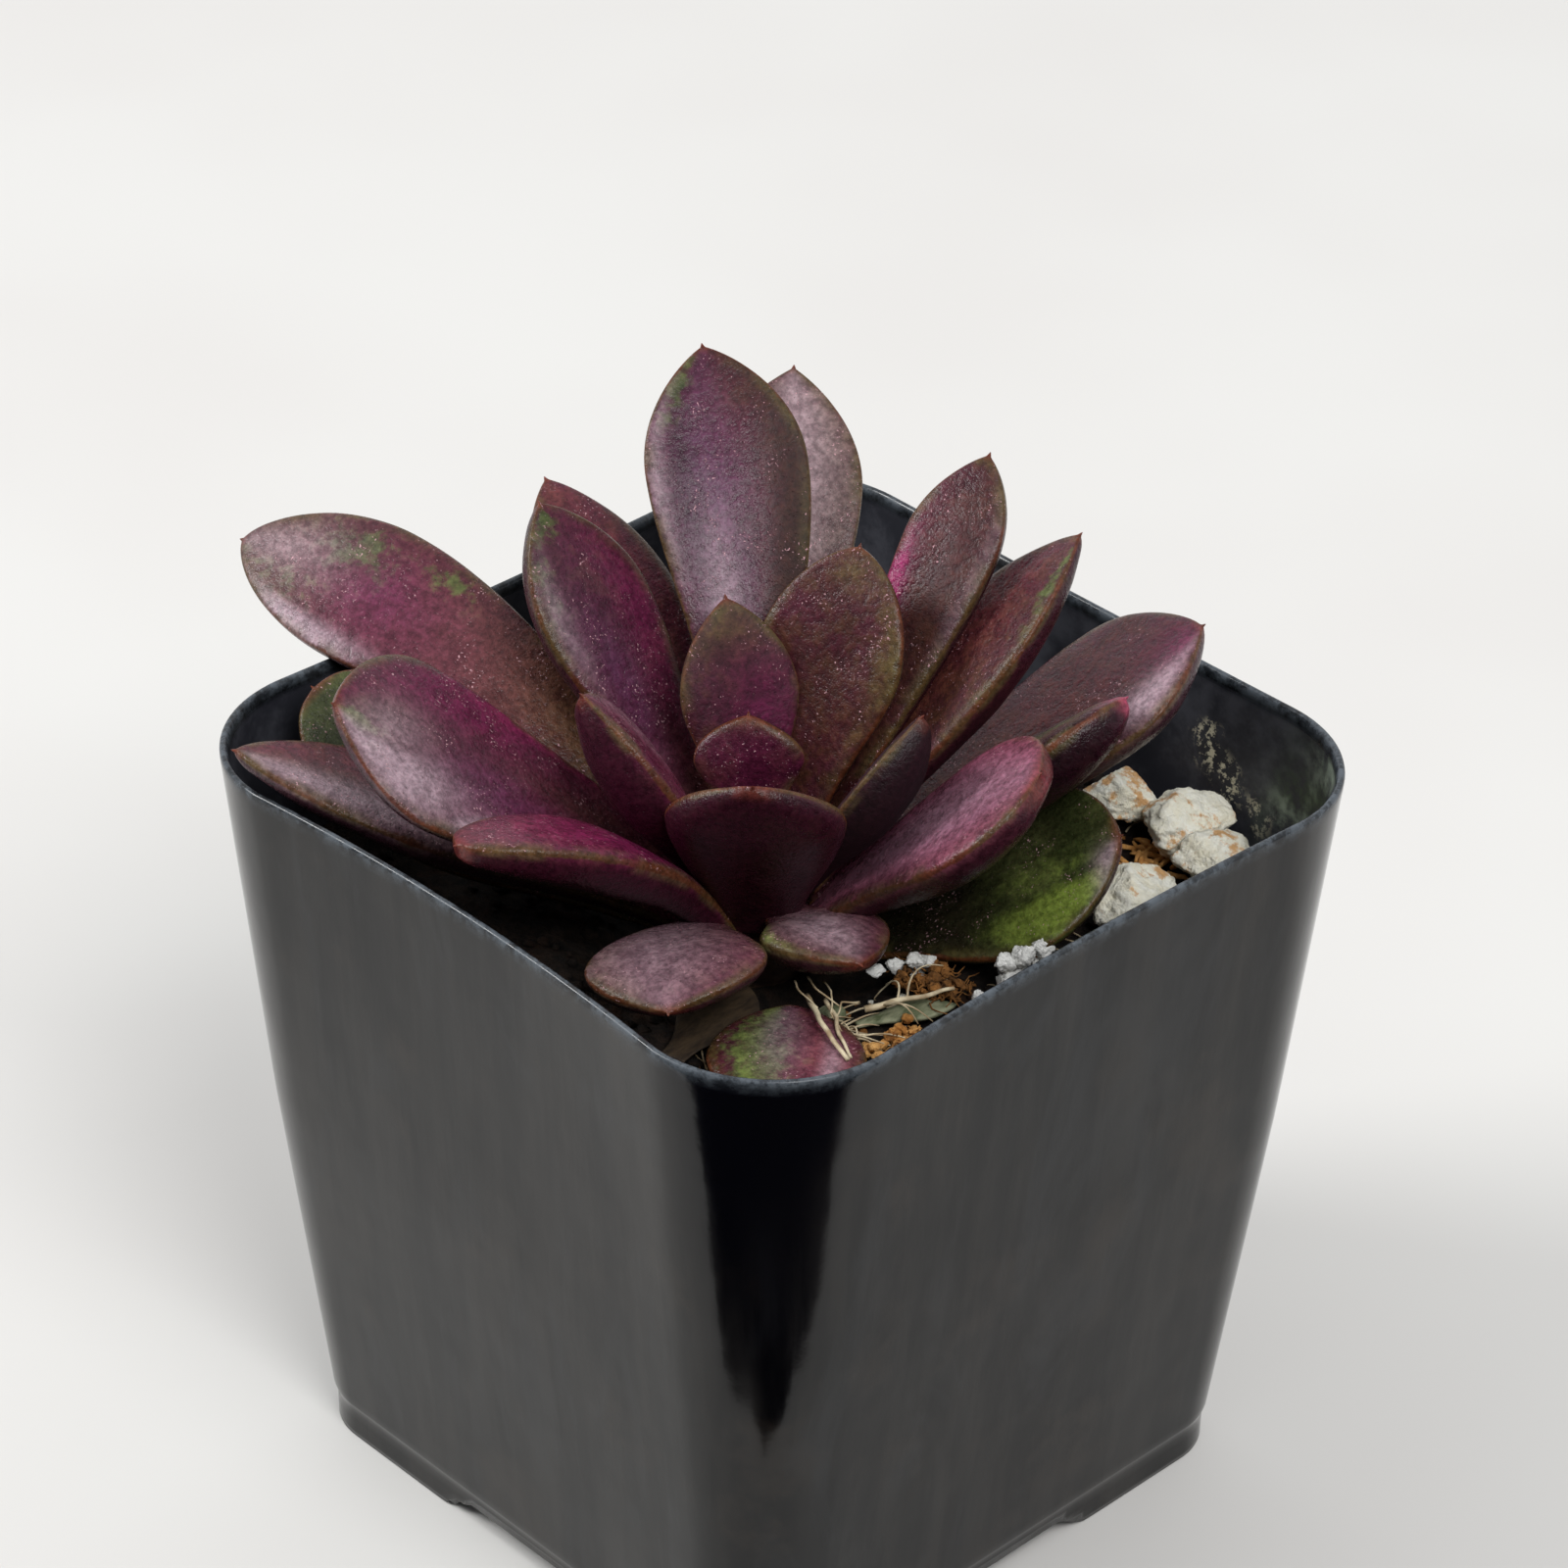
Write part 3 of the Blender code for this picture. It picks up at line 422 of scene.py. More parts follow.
def leaf_material():
    """Wine-purple waxy skin with brown margins, green and olive patches, pits, painted highlights, painted
    shade and fine painted glints.
    """
    s = Shader("succulent_leaf")
    tint = {name: s.attribute(name) for name in CHANNELS}
    face = s.attribute("face")
    cloud = s.noise(4.5, 4.0, 0.6)
    mottle = s.noise(1.1, 4.0, 0.65)
    grain = s.noise(0.42, 3.0, 0.65)
    fine = s.noise(0.16, 2.0, 0.6)
    uneven = s.step(mottle, 0.3, 0.7, 0.5, 1.0)
    s.colour = s.mix(s.step(cloud, 0.35, 0.68), srgb(66, 23, 37), srgb(80, 33, 51))
    s.paint(s.step(mottle, 0.46, 0.64, 0.0, 0.45), srgb(70, 42, 30))
    s.paint(s.step(s.noise(2.2, 3.0), 0.5, 0.66, 0.0, 0.45), srgb(66, 44, 28))
    for name, paint, most in (("brown", srgb(74, 43, 28), 0.85), ("olive", srgb(86, 71, 40), 0.8),
                              ("rose", srgb(114, 52, 62), 0.8), ("magenta", srgb(102, 19, 66), 0.85),
                              ("violet", srgb(84, 40, 76), 0.85), ("hot", srgb(160, 26, 100), 0.85)):
        s.paint(s.math("MINIMUM", s.times(tint[name], uneven), most), paint)
    ragged = s.math("ADD", tint["green"], s.step(mottle, 0.3, 0.7, -0.35, 0.35))
    leafy = s.mix(s.step(cloud, 0.35, 0.65), srgb(48, 64, 28), srgb(80, 92, 48))
    s.paint(s.step(ragged, 0.3, 1.0, 0.0, 0.85), leafy)
    bright = s.math("ADD", tint["lime"], s.step(mottle, 0.3, 0.7, -0.14, 0.14))
    s.paint(s.step(bright, 0.15, 1.1, 0.0, 0.9), srgb(120, 138, 58))
    # Painted highlight: the pale tint lays a pale mauve-grey sheen into the colour where the leaves catch
    # the light.
    pale = s.times(tint["pale"], s.step(mottle, 0.3, 0.7, 0.75, 1.0))
    s.paint(s.math("MINIMUM", pale, 0.8), srgb(166, 142, 152))
    s.paint(s.step(face, -0.35, 0.05, 0.85, 0.0), srgb(44, 12, 24))
    # Partly painted shade: the dark tint darkens undersides and flanks turned away from the light, and
    # partly darker skin.
    s.paint(s.math("MINIMUM", tint["dark"], 0.85), srgb(22, 10, 14))
    inward = s.times(s.step(s.attribute("edge"), 0.4, 1.7, 0.55, 0.0), s.step(s.noise(3.4, 3.0), 0.4, 0.6))
    s.paint(inward, srgb(84, 76, 42))
    uneven_edge = s.math("ADD", s.attribute("edge"), s.step(mottle, 0.3, 0.7, -0.15, 0.15))
    margin = s.step(uneven_edge, 0.15, 0.55, 1.0, 0.0)
    rust = s.mix(s.step(s.noise(6.0), 0.42, 0.6), srgb(92, 48, 28), srgb(80, 62, 34))
    s.paint(s.times(margin, s.step(cloud, 0.25, 0.55, 0.5, 0.85)), rust)
    s.paint(s.step(s.attribute("tip"), 0.1, 0.8, 0.8, 0.0), srgb(96, 44, 32))
    pink_tip = s.times(tint["hot"], s.step(s.attribute("tip"), 0.1, 0.8, 1.0, 0.0))
    s.paint(s.math("MINIMUM", pink_tip, 0.8), srgb(176, 70, 104))
    s.colour = s.mix(1.0, s.colour, s.grey(s.step(grain, 0.25, 0.75, 0.6, 1.36)), "MULTIPLY")
    s.colour = s.mix(1.0, s.colour, s.grey(s.step(mottle, 0.3, 0.7, 0.84, 1.15)), "MULTIPLY")
    pit = s.step(s.cells(0.5), 0.05, 0.14, 1.0, 0.0)
    s.paint(s.times(pit, s.step(mottle, 0.4, 0.6), 0.35), srgb(20, 8, 12))
    # Painted highlight: sparse pale pink glints are painted into the colour of the upper faces, and the bump
    # raises them too.
    chosen = s.step(s.math("ADD", s.noise(2.4, 2.0), s.step(fine, 0.3, 0.7, 0.0, 0.2)), 0.63, 0.75)
    painted_glint = s.times(s.step(s.noise(0.19, 1.0), 0.63, 0.72), chosen, s.step(face, -0.1, 0.2))
    s.paint(s.times(painted_glint, 0.7), srgb(226, 176, 184))
    rough = s.math("MAXIMUM", s.step(mottle, 0.3, 0.7, 0.2, 0.34), s.times(tint["matte"], 0.62))
    height = s.math("SUBTRACT", grain, s.times(pit, 0.5))
    normal = s.bump(mottle, 0.06, 0.9)
    normal = s.bump(height, 0.09, 1.0, normal)
    normal = s.bump(s.math("ADD", fine, s.times(painted_glint, 1.2)), 0.03, 0.9, normal)
    return s.finish(s.colour, rough, normal, IOR=1.43, Specular_IOR_Level=0.32, Subsurface_Weight=0.05,
                    Subsurface_Radius=(0.002, 0.0006, 0.0008), Subsurface_Scale=0.6)


def pot_material():
    """Black moulded plastic with faint upright streaks, dust with a painted sheen and mineral marks inside.
    """
    s = Shader("pot_plastic")
    inner = s.attribute("inner")
    upright = s.stretched(1.0, 1.0, 0.09)
    streaks = s.noise(4.5, 4.0, 0.6, upright)
    clouds = s.noise(18.0, 3.0, 0.55)
    fine = s.noise(0.35, 2.0)
    s.colour = s.mix(s.step(streaks, 0.4, 0.7, 0.0, 0.8), srgb(2, 2, 3), srgb(34, 32, 30))
    s.paint(s.step(s.noise(9.0, 5.0, 0.7), 0.52, 0.7, 0.0, 0.5), srgb(38, 32, 27))
    slanted = s.noise(7.0, 5.0, 0.65, s.stretched(1.0, 0.6, 0.25), 1.5)
    s.paint(s.step(slanted, 0.5, 0.68, 0.0, 0.5), srgb(33, 34, 36))
    # Painted reflection: the corner towards the camera is painted near black over the streaks, standing in
    # for a dark reflection.
    s.paint(s.attribute("corner"), srgb(4, 4, 8))
    # Partly painted sheen: the whole inside is laid over with a hazy blue-grey that stands for both dust and
    # a bluish sheen.
    dust_and_sheen = s.mix(s.step(s.noise(5.0, 5.0, 0.7), 0.4, 0.65), srgb(42, 43, 50), srgb(70, 71, 78))
    s.paint(s.times(inner, 0.85), dust_and_sheen)
    crust = s.times(s.step(s.noise(0.9, 6.0, 0.75), 0.5, 0.56), inner, s.attribute("crust"))
    s.paint(s.step(crust, 0.15, 0.6, 0.0, 0.85), srgb(206, 200, 174))
    algae = s.times(s.attribute("algae"), s.step(s.noise(2.0, 5.0, 0.7), 0.35, 0.65))
    green = s.mix(s.step(s.noise(4.0), 0.4, 0.6), srgb(70, 92, 56), srgb(150, 164, 146))
    s.paint(s.times(algae, 0.85), green)
    # Partly painted highlight: the rim lip is painted a lighter blue-grey that stands for both wear and the
    # light it catches.
    wear_and_highlight = s.times(s.attribute("rim"), s.step(s.noise(1.2, 4.0, 0.7), 0.35, 0.65, 0.15, 0.9))
    s.paint(s.times(wear_and_highlight, 0.75), srgb(98, 106, 114))
    rough = s.step(streaks, 0.3, 0.75, 0.07, 0.17)
    rough = s.math("MAXIMUM", rough, s.times(s.math("MAXIMUM", inner, wear_and_highlight), 0.5))
    normal = s.bump(clouds, 0.35, 0.5)
    normal = s.bump(streaks, 0.05, 0.5, normal)
    normal = s.bump(fine, 0.006, 0.4, normal)
    return s.finish(s.colour, rough, normal, IOR=1.38)


def soil_material():
    """Dark damp potting mix with brown and grey crumbs."""
    s = Shader("potting_mix")
    crumbs = s.noise(1.1, 6.0, 0.75)
    patch = s.noise(4.0, 3.0)
    colour = s.mix(s.step(crumbs, 0.35, 0.7), srgb(10, 8, 7), srgb(44, 32, 24))
    colour = s.mix(s.step(patch, 0.58, 0.72, 0.0, 0.5), colour, srgb(70, 42, 24))
    return s.finish(colour, 0.92, s.bump(crumbs, 0.5, 1.0), Specular_IOR_Level=0.25)


def crumb_material(name, dark, light, stain, stained=(0.58, 0.66)):
    """Crumbly grains of one kind."""
    s = Shader(name)
    cloud = s.noise(1.6, 5.0, 0.7)
    fine = s.noise(0.5, 5.0, 0.7)
    colour = s.mix(s.step(cloud, 0.3, 0.7), dark, light)
    colour = s.mix(s.step(s.noise(2.8, 5.0, 0.7), *stained, 0.0, 0.85), colour, stain)
    return s.finish(colour, 0.9, s.bump(fine, 0.4, 1.0, s.bump(cloud, 0.4, 0.7)), Specular_IOR_Level=0.25)


def dry_leaf_material(name, colour_a, colour_b):
    """A dry, fibrous scrap of leaf."""
    s = Shader(name)
    fibres = s.noise(0.9, 5.0, 0.7, s.stretched(1.0, 0.35, 1.0))
    colour = s.mix(s.step(fibres, 0.3, 0.7), colour_a, colour_b)
    return s.finish(colour, 0.7, s.bump(fibres, 0.12, 0.9), Specular_IOR_Level=0.3)


def root_material():
    """Pale straw-coloured root."""
    s = Shader("root")
    colour = s.mix(s.step(s.noise(1.5, 4.0), 0.35, 0.65), srgb(150, 128, 96), srgb(214, 200, 168))
    return s.finish(colour, 0.65, s.bump(s.noise(0.25, 3.0), 0.04, 0.8))


def stem_material():
    """Brown woody stem."""
    s = Shader("stem")
    rings = s.noise(1.6, 4.0, 0.6, s.stretched(0.4, 0.4, 1.6))
    colour = s.mix(s.step(rings, 0.3, 0.7), srgb(52, 34, 30), srgb(98, 72, 50))
    return s.finish(colour, 0.8, s.bump(rings, 0.2, 0.9))


def add_piece(name, points, faces, material, node, slot, values=None):
    """A piece from points in millimetres about the pot's middle."""
    mesh = bpy.data.meshes.new(name)
    world = (np.asarray(points, float) + POT_PLACE) * MM
    mesh.from_pydata(world.tolist(), [], faces)
    for key, numbers in (values or {}).items():
        mesh.attributes.new(key, "FLOAT", "POINT").data.foreach_set("value", np.asarray(numbers, np.float32))
    mesh.polygons.foreach_set("use_smooth", [True] * len(mesh.polygons))
    mesh.materials.append(material)
    mesh.validate()
    made = bpy.data.objects.new(name, mesh)
    bpy.context.scene.collection.objects.link(made)
    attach(made, "root")
    if node:
        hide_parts(node)


def stack_faces(rows, cols):
    """Faces of a stack of closed rings, with a fan at each end on the two points after the rings."""
    faces = []
    for row in range(rows - 1):
        for col in range(cols):
            a = row * cols + col
            b = row * cols + (col + 1) % cols
            faces.append((a, b, b + cols, a + cols))
    first, last = (rows - 1) * cols, rows * cols
    for col in range(cols):
        after = (col + 1) % cols
        faces.append((after, col, last))
        faces.append((first + col, first + after, last + 1))
    return faces


def ease(x):
    """A smooth step from 0 to 1."""
    x = np.clip(x, 0.0, 1.0)
    return x * x * (3.0 - 2.0 * x)


def leaf_axes(leaf, t):
    """Direction, upper normal and sideways axis at places along a leaf."""
    held = np.clip(t, 0.0, 1.0)
    pitch = np.radians(leaf["p0"] + (leaf["p1"] - leaf["p0"]) * held ** 0.9)
    yaw = np.radians(leaf["az"] + leaf.get("sway", 0.0) * held)
    along = np.stack([np.cos(pitch) * np.cos(yaw), np.cos(pitch) * np.sin(yaw), np.sin(pitch)], 1)
    up = np.stack([-np.sin(pitch) * np.cos(yaw), -np.sin(pitch) * np.sin(yaw), np.cos(pitch)], 1)
    side = np.stack([np.sin(yaw), -np.cos(yaw), 0.0 * yaw], 1)
    twist = leaf.get("twist", 0.0) * (LEAF_BASE_TWIST + (1.0 - LEAF_BASE_TWIST) * held)
    twist = np.radians(twist)[:, None]
    return along, up * np.cos(twist) + side * np.sin(twist), side * np.cos(twist) - up * np.sin(twist)


def even_turns(count, width=4.5, depth=1.6, fine=4000):
    """Turns round a blunt leaf section, evenly spaced along its outline."""
    turn = np.linspace(0.0, 2 * np.pi, fine)
    x = width * np.sign(np.cos(turn)) * np.abs(np.cos(turn)) ** LEAF_BLUNT
    length = np.append(0.0, np.cumsum(np.hypot(np.diff(x), np.diff(depth * np.sin(turn)))))
    return np.interp(np.linspace(0.0, length[-1], count, endpoint=False), length, turn)


def leaf_shape(leaf, start, beak=1.0):
    """Points and faces of a fleshy leaf, with the place along, across and up its thickness."""
    rows, cols = LEAF_ROW_COUNT, LEAF_COLUMN_COUNT
    end = 1.0 + beak * BEAK_LENGTH / leaf["L"]
    t = end * (1.0 - (1.0 - np.linspace(0.0, 1.0, rows)) ** 1.6)
    held = np.clip(t, 0.0, 1.0)
    along, normal, across = leaf_axes(leaf, t)
    steps = np.diff(t)[:, None] * leaf["L"] * (along[1:] + along[:-1]) / 2
    middle = np.vstack([np.zeros(3), np.cumsum(steps, 0)]) + np.asarray(start, float)
    peak, base = leaf.get("peak", 0.6), leaf.get("base", 0.34)
    rising = base + (1.0 - base) * ease((held / peak) ** leaf.get("rise", 1.3))
    past = np.clip(held - peak, 0.0, 1.0) / (1.0 - peak)
    falling = np.clip(1.0 - past ** 2, 0.0, 1.0) ** leaf.get("sharp", 0.85)
    share = np.where(held < peak, rising, falling)
    half = leaf["W"] / 2 * share
    full = (0.75 + 0.25 * np.sin(np.pi * held)) * share ** 0.6
    beak_radius = BEAK_RADIUS * beak * np.clip((end - t) * leaf["L"] / (1.8 * BEAK_LENGTH), 0.0, 1.0) ** 0.8
    beak_radius *= t > 1.0 - 1.1 * BEAK_LENGTH / leaf["L"]
    half = np.maximum(half, beak_radius)[:, None]
    top = np.maximum(leaf.get("top", LEAF_TOP) * full, beak_radius * 0.8)[:, None]
    low = np.maximum(leaf["low"] * full, beak_radius * 0.8)[:, None]
    turn = even_turns(cols)
    cos, sin = np.cos(turn), np.sin(turn)
    flank = np.sign(cos) * np.abs(cos) ** LEAF_BLUNT
    x = half * flank
    depth = np.where(sin > 0, top * sin, low * sin)
    y = depth + leaf.get("cup", LEAF_CUP) * half * cos ** 2
    points = middle[:, None] + x[..., None] * across[:, None] + y[..., None] * normal[:, None]
    push = np.zeros((rows, cols))
    for size, height in LEAF_WAVE:
        push += height * np.array([[noise.noise(Vector(p / size)) for p in row] for row in points])
    push *= np.clip(half / 1.5, 0.0, 1.0) * np.clip(t / 0.05, 0.0, 1.0)[:, None]
    outward = np.sign(sin) * np.abs(sin) ** 0.5
    points = points + (push * outward)[..., None] * normal[:, None]
    edge = half * (1.0 - np.abs(flank)) + 0.7 * np.abs(depth)
    edge = edge + UNDER_MARGIN * np.clip(-3.0 * sin, 0.0, 1.5)
    flat = np.vstack([points.reshape(-1, 3), middle[:1], middle[-1:]])
    values = {
        "along": np.append(np.repeat(t, cols), [0.0, end]),
        "across": np.append(np.tile(flank, rows), [0.0, 0.0]),
        "face": np.append(np.tile(sin, rows), [0.0, 0.0]),
        "edge": np.append(edge.ravel(), [2.0, 0.0]),
        "tip": np.append(np.repeat((end - t) * leaf["L"] / 1.4, cols), [9.0, 0.0]),
    }
    return flat, stack_faces(rows, cols), values


def leaf_tints(name, values):
    """How strongly each tint shows at each point of a leaf."""
    tints = {channel: np.zeros(len(values["along"])) for channel in CHANNELS}
    for channel, along, across, reach_along, reach_across, strength in TINTS.get(name, []):
        near = ((values["along"] - along) / reach_along) ** 2
        near = near + ((values["across"] - across) / reach_across) ** 2
        tints[channel] = np.maximum(tints[channel], strength * np.exp(-near))
    return tints


def make_rosette(material):
    """The leaves round the stem."""
    for name, leaf in LEAVES.items():
        heading = math.radians(leaf["az"])
        off = leaf.get("off", (0.0, 0.0))
        x = CROWN[0] + leaf["r0"] * math.cos(heading) + off[0]
        y = CROWN[1] + leaf["r0"] * math.sin(heading) + off[1]
        points, faces, values = leaf_shape(leaf, (x, y, leaf["z0"]))
        values.update(leaf_tints(name, values))
        add_piece(name + "_skin", points, faces, material, name, "leaf", values)


def node_box(node):
    """A CAD node's corners in millimetres about the pot's middle."""
    low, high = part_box(node)
    return np.array(low) / MM - POT_PLACE, np.array(high) / MM - POT_PLACE


def make_loose_leaves(material):
    """The fallen leaf and the dried scraps on the soil."""
    dried = dry_leaf_material("dried_leaf", srgb(34, 26, 20), srgb(70, 56, 40))
    scrap = dry_leaf_material("leaf_scrap", srgb(72, 82, 52), srgb(150, 152, 124))
    kinds = {"fallen_leaf": (material, "leaf"), "dried_leaf": (dried, "dried_leaf"),
             "leaf_scrap": (scrap, "leaf_scrap"), "leaf_stub": (scrap, "leaf_scrap")}
    for name, leaf in LOOSE_LEAVES.items():
        beak = 0.5 if name == "fallen_leaf" else 0.0
        points, faces, values = leaf_shape(leaf, (*leaf["at"], 0.0), beak)
        points[:, 2] += node_box(name)[0][2] - points[:, 2].min()
        values.update(leaf_tints(name, values))
        paint, slot = kinds[name]
        add_piece(name + "_skin", points, faces, paint, name, slot, values)


def sections(z):
    """Half-width and corner radius of the pot's outside at a height."""
    for low, high in zip(POT_OUTSIDE, POT_OUTSIDE[1:]):
        if z <= high[0]:
            share = (z - low[0]) / (high[0] - low[0])
            return low[1] + (high[1] - low[1]) * share, low[2] + (high[2] - low[2]) * share
    return POT_OUTSIDE[-1][1], POT_OUTSIDE[-1][2]


def square_ring(z, half, radius):
    """A rounded square whose sides bow inward towards the rim."""
    flat = half - radius
    ring = []
    for side, bow in enumerate(SIDE_BOWS):
        angle = math.radians(90 * side)
        out = np.array([math.cos(angle), math.sin(angle), 0.0])
        along = np.array([-math.sin(angle), math.cos(angle), 0.0])
        depth = bow * (z / POT_HEIGHT) ** 2
        for step in range(RING_SIDE_STEPS):
            s = -1.0 + 2.0 * step / RING_SIDE_STEPS
            ring.append(out * (half - depth * (1.0 - s * s)) + along * (flat * s))
        for step in range(RING_CORNER_STEPS):
            turn = angle + math.radians(90 * step / RING_CORNER_STEPS)
            ring.append((out + along) * flat + np.array([math.cos(turn), math.sin(turn), 0.0]) * radius)
    ring = np.array(ring)
    ring[:, 2] = z
    return ring


def nearness(points, place, spread):
    """How near points are to a place of two or three coordinates, from 0 to 1."""
    return np.exp(-sum((points[:, axis] - value) ** 2 for axis, value in enumerate(place)) / spread)


def make_pot(material):
    """The thin pot: skirt with feet, outside, rim, inside and floor."""
    rings, inner, rim = [], [], []

    def add(z, inset=0.0, inside=0.0, wear_and_highlight=0.0):
        half, radius = sections(z)
        rings.append(square_ring(z, half - inset, max(radius - inset, 1.0)))
        inner.append(inside)
        rim.append(wear_and_highlight)

    for z in FOOT_INSIDE:
        add(z, FOOT_WALL, 1.0)
    add(0.0, FOOT_WALL - FOOT_EDGE, 0.5)
    add(0.0, FOOT_EDGE)
    for z in (*FOOT_OUTSIDE, *np.linspace(4.0, WALL_TOP, 34)):
        add(z)
    for z, inset, wear_and_highlight in RIM_RINGS:
        add(z, inset, 0.0, wear_and_highlight)
    for z in np.linspace(WALL_TOP, POT_FLOOR + 0.6, 30):
        add(z, POT_WALL, 1.0)
    add(POT_FLOOR, POT_WALL + 0.4, 1.0)
    cols = len(rings[0])
    points = np.vstack(rings)
    foot = points[:, 2] < FOOT_LIFT
    across = np.minimum(np.abs(points[:, 0]), np.abs(points[:, 1]))
    height = np.clip(points[:, 2] / FOOT_LIFT, 0.0, 1.0) ** 0.5
    edge = FOOT_GAP_BOTTOM + (FOOT_GAP_TOP - FOOT_GAP_BOTTOM) * height
    lift = FOOT_LIFT * ease((edge + 0.8 - across) / 1.6)
    points[:, 2] = np.where(foot, np.maximum(points[:, 2], np.minimum(lift, FOOT_LIFT)), points[:, 2])
    points = np.vstack([points, [[0.0, 0.0, SKIRT_TOP]], [[0.0, 0.0, POT_FLOOR]]])
    inside = np.append(np.repeat(inner, cols), [1.0, 1.0])
    algae = nearness(points, ALGAE_CORNER, 12.0) + 2.4 * nearness(points, MOSS_PLACE, 7.0)
    front = points[:, 0] - points[:, 1] - FRONT_DARK[0]
    values = {"inner": inside, "rim": np.append(np.repeat(rim, cols), [0.0, 0.0]),
              "algae": np.clip(algae, 0.0, 1.0) * inside,
              "crust": sum(nearness(points, spot, 2.0) for spot in CRUST_SPOTS),
              "corner": ease(front / (FRONT_DARK[1] - FRONT_DARK[0]))}
    add_piece("pot_shell", points, stack_faces(len(rings), cols), material, "pot", "pot", values)


def from_crown(x, y):
    """Distance of a place from the crown, seen from above."""
    return math.hypot(x - CROWN[0], y - CROWN[1])


def soil_height(x, y):
    """Height of the soil's rough top, lower round the stem."""
    near, far = SOIL_DIP_REACH
    dip = SOIL_DIP * (1.0 - float(ease((from_crown(x, y) - near) / (far - near))))
    return SOIL_LEVEL - dip + SOIL_ROUGH * noise.noise(Vector((x, y, 7.0)) * SOIL_WAVE)


def make_soil(material):
    """A rough bed of potting mix that fills the pot."""
    half, radius = sections(SOIL_LEVEL)
    edge = square_ring(SOIL_LEVEL, half - POT_WALL - 0.05, radius - POT_WALL)
    half, radius = sections(POT_FLOOR + 1.0)
    rings = [square_ring(POT_FLOOR + 0.2, half - POT_WALL - 0.4, radius - POT_WALL)]
    half, radius = sections(SOIL_MIDDLE)
    rings.append(square_ring(SOIL_MIDDLE, half - POT_WALL - 0.1, radius - POT_WALL))
    middle = np.array(CROWN + (0.0,))
    for share in (*np.linspace(1.0, 0.1, 46), 0.02):
        ring = middle + (edge - middle) * share
        for point in ring:
            rough = sum(height * noise.noise(Vector((point[0], point[1], layer)) * wave)
                        for height, wave, layer in SOIL_GRAINS)
            point[2] = soil_height(point[0], point[1]) + rough * min(1.0, share * 3.0) - 0.1
        rings.append(ring)
    points = np.vstack([*rings, [[0.0, 0.0, POT_FLOOR + 0.2]], [[*CROWN, soil_height(*CROWN)]]])
    add_piece("potting_mix", points, stack_faces(len(rings), len(edge)), material, "soil", "soil")


def lump(middle, sizes, seed, level, rough, wave):
    """Points and faces of one irregular grain."""
    bm = bmesh.new()
    bmesh.ops.create_icosphere(bm, subdivisions=level, radius=1.0)
    turn = Matrix.Rotation(seed * 1.7, 3, "Z") @ Matrix.Rotation(seed * 2.3, 3, "X")
    shift = Vector((seed * 3.1, seed * 5.7, seed * 1.3))
    points = []
    for vertex in bm.verts:
        size = 1.0 + rough * noise.noise(vertex.co * wave + shift)
        size += rough * 0.5 * noise.noise(vertex.co * wave * 2.7 + shift)
        point = turn @ (vertex.co * size)
        points.append([middle[i] + point[i] * sizes[i] for i in range(3)])
    faces = [tuple(v.index for v in face.verts) for face in bm.faces]
    bm.free()
    return np.array(points), faces


def join(parts):
    """Several sets of points and faces as one."""
    points, faces, count = [], [], 0
    for part_points, part_faces in parts:
        points.append(part_points)
        faces += [tuple(i + count for i in face) for face in part_faces]
        count += len(part_points)
    return np.vstack(points), faces


def tube(path, radii, sides=7):
    """A round thread along a path of points."""
    path = np.asarray(path, float)
    radii = np.broadcast_to(radii, len(path))
    points = []
    for number, point in enumerate(path):
        heading = path[min(number + 1, len(path) - 1)] - path[max(number - 1, 0)]
        heading = heading / np.linalg.norm(heading)
        side = np.cross(heading, [0.0, 0.0, 1.0])
        side = side / max(np.linalg.norm(side), 1e-6)
        up = np.cross(side, heading)
        for step in range(sides):
            turn = 2 * math.pi * step / sides
            points.append(point + radii[number] * (side * math.cos(turn) + up * math.sin(turn)))
    points += [path[0], path[-1]]
    return np.array(points), stack_faces(len(path), sides)


def curl(x, y, length, heading, bend, steps, height):
    """Points of a bent thread that starts at a place, at heights that a function gives."""
    path = []
    for step in range(steps + 1):
        s = step / steps
        turn = heading + bend * s
        px, py = x + length * s * math.cos(turn), y + length * s * math.sin(turn)
        path.append((px, py, height(s, px, py)))
    return path


def chunk(low, high, seed, level=5, planes=15, rough=0.05):
    """Points and faces of a broken block of stone that fills a box."""
    rng = random.Random(seed)
    normals = []
    for _ in range(planes):
        normal = np.array([rng.gauss(0.0, 1.0) for _ in range(3)])
        normals.append(normal / np.linalg.norm(normal))
    normals = np.array(normals)
    depths = np.array([rng.uniform(0.55, 0.85) for _ in range(planes)])
    bm = bmesh.new()
    bmesh.ops.create_icosphere(bm, subdivisions=level, radius=1.0)
    rays = np.array([vertex.co[:] for vertex in bm.verts])
    faces = [tuple(v.index for v in face.verts) for face in bm.faces]
    bm.free()
    facing = rays @ normals.T
    reach = np.min(np.where(facing > 0.05, depths / np.maximum(facing, 0.05), 1.0), axis=1)
    shift = Vector((seed * 3.1, seed * 5.7, seed * 1.3))
    knobs = [noise.noise(Vector(ray) * 3.5 + shift) + 0.6 * noise.noise(Vector(ray) * 9.0 + shift)
             for ray in rays]
    points = rays * (np.minimum(reach, 1.0) * (1.0 + rough * 2.0 * np.array(knobs)))[:, None]
    points = (points - points.min(0)) / (points.max(0) - points.min(0))
    return np.asarray(low) + points * (np.asarray(high) - np.asarray(low)), faces


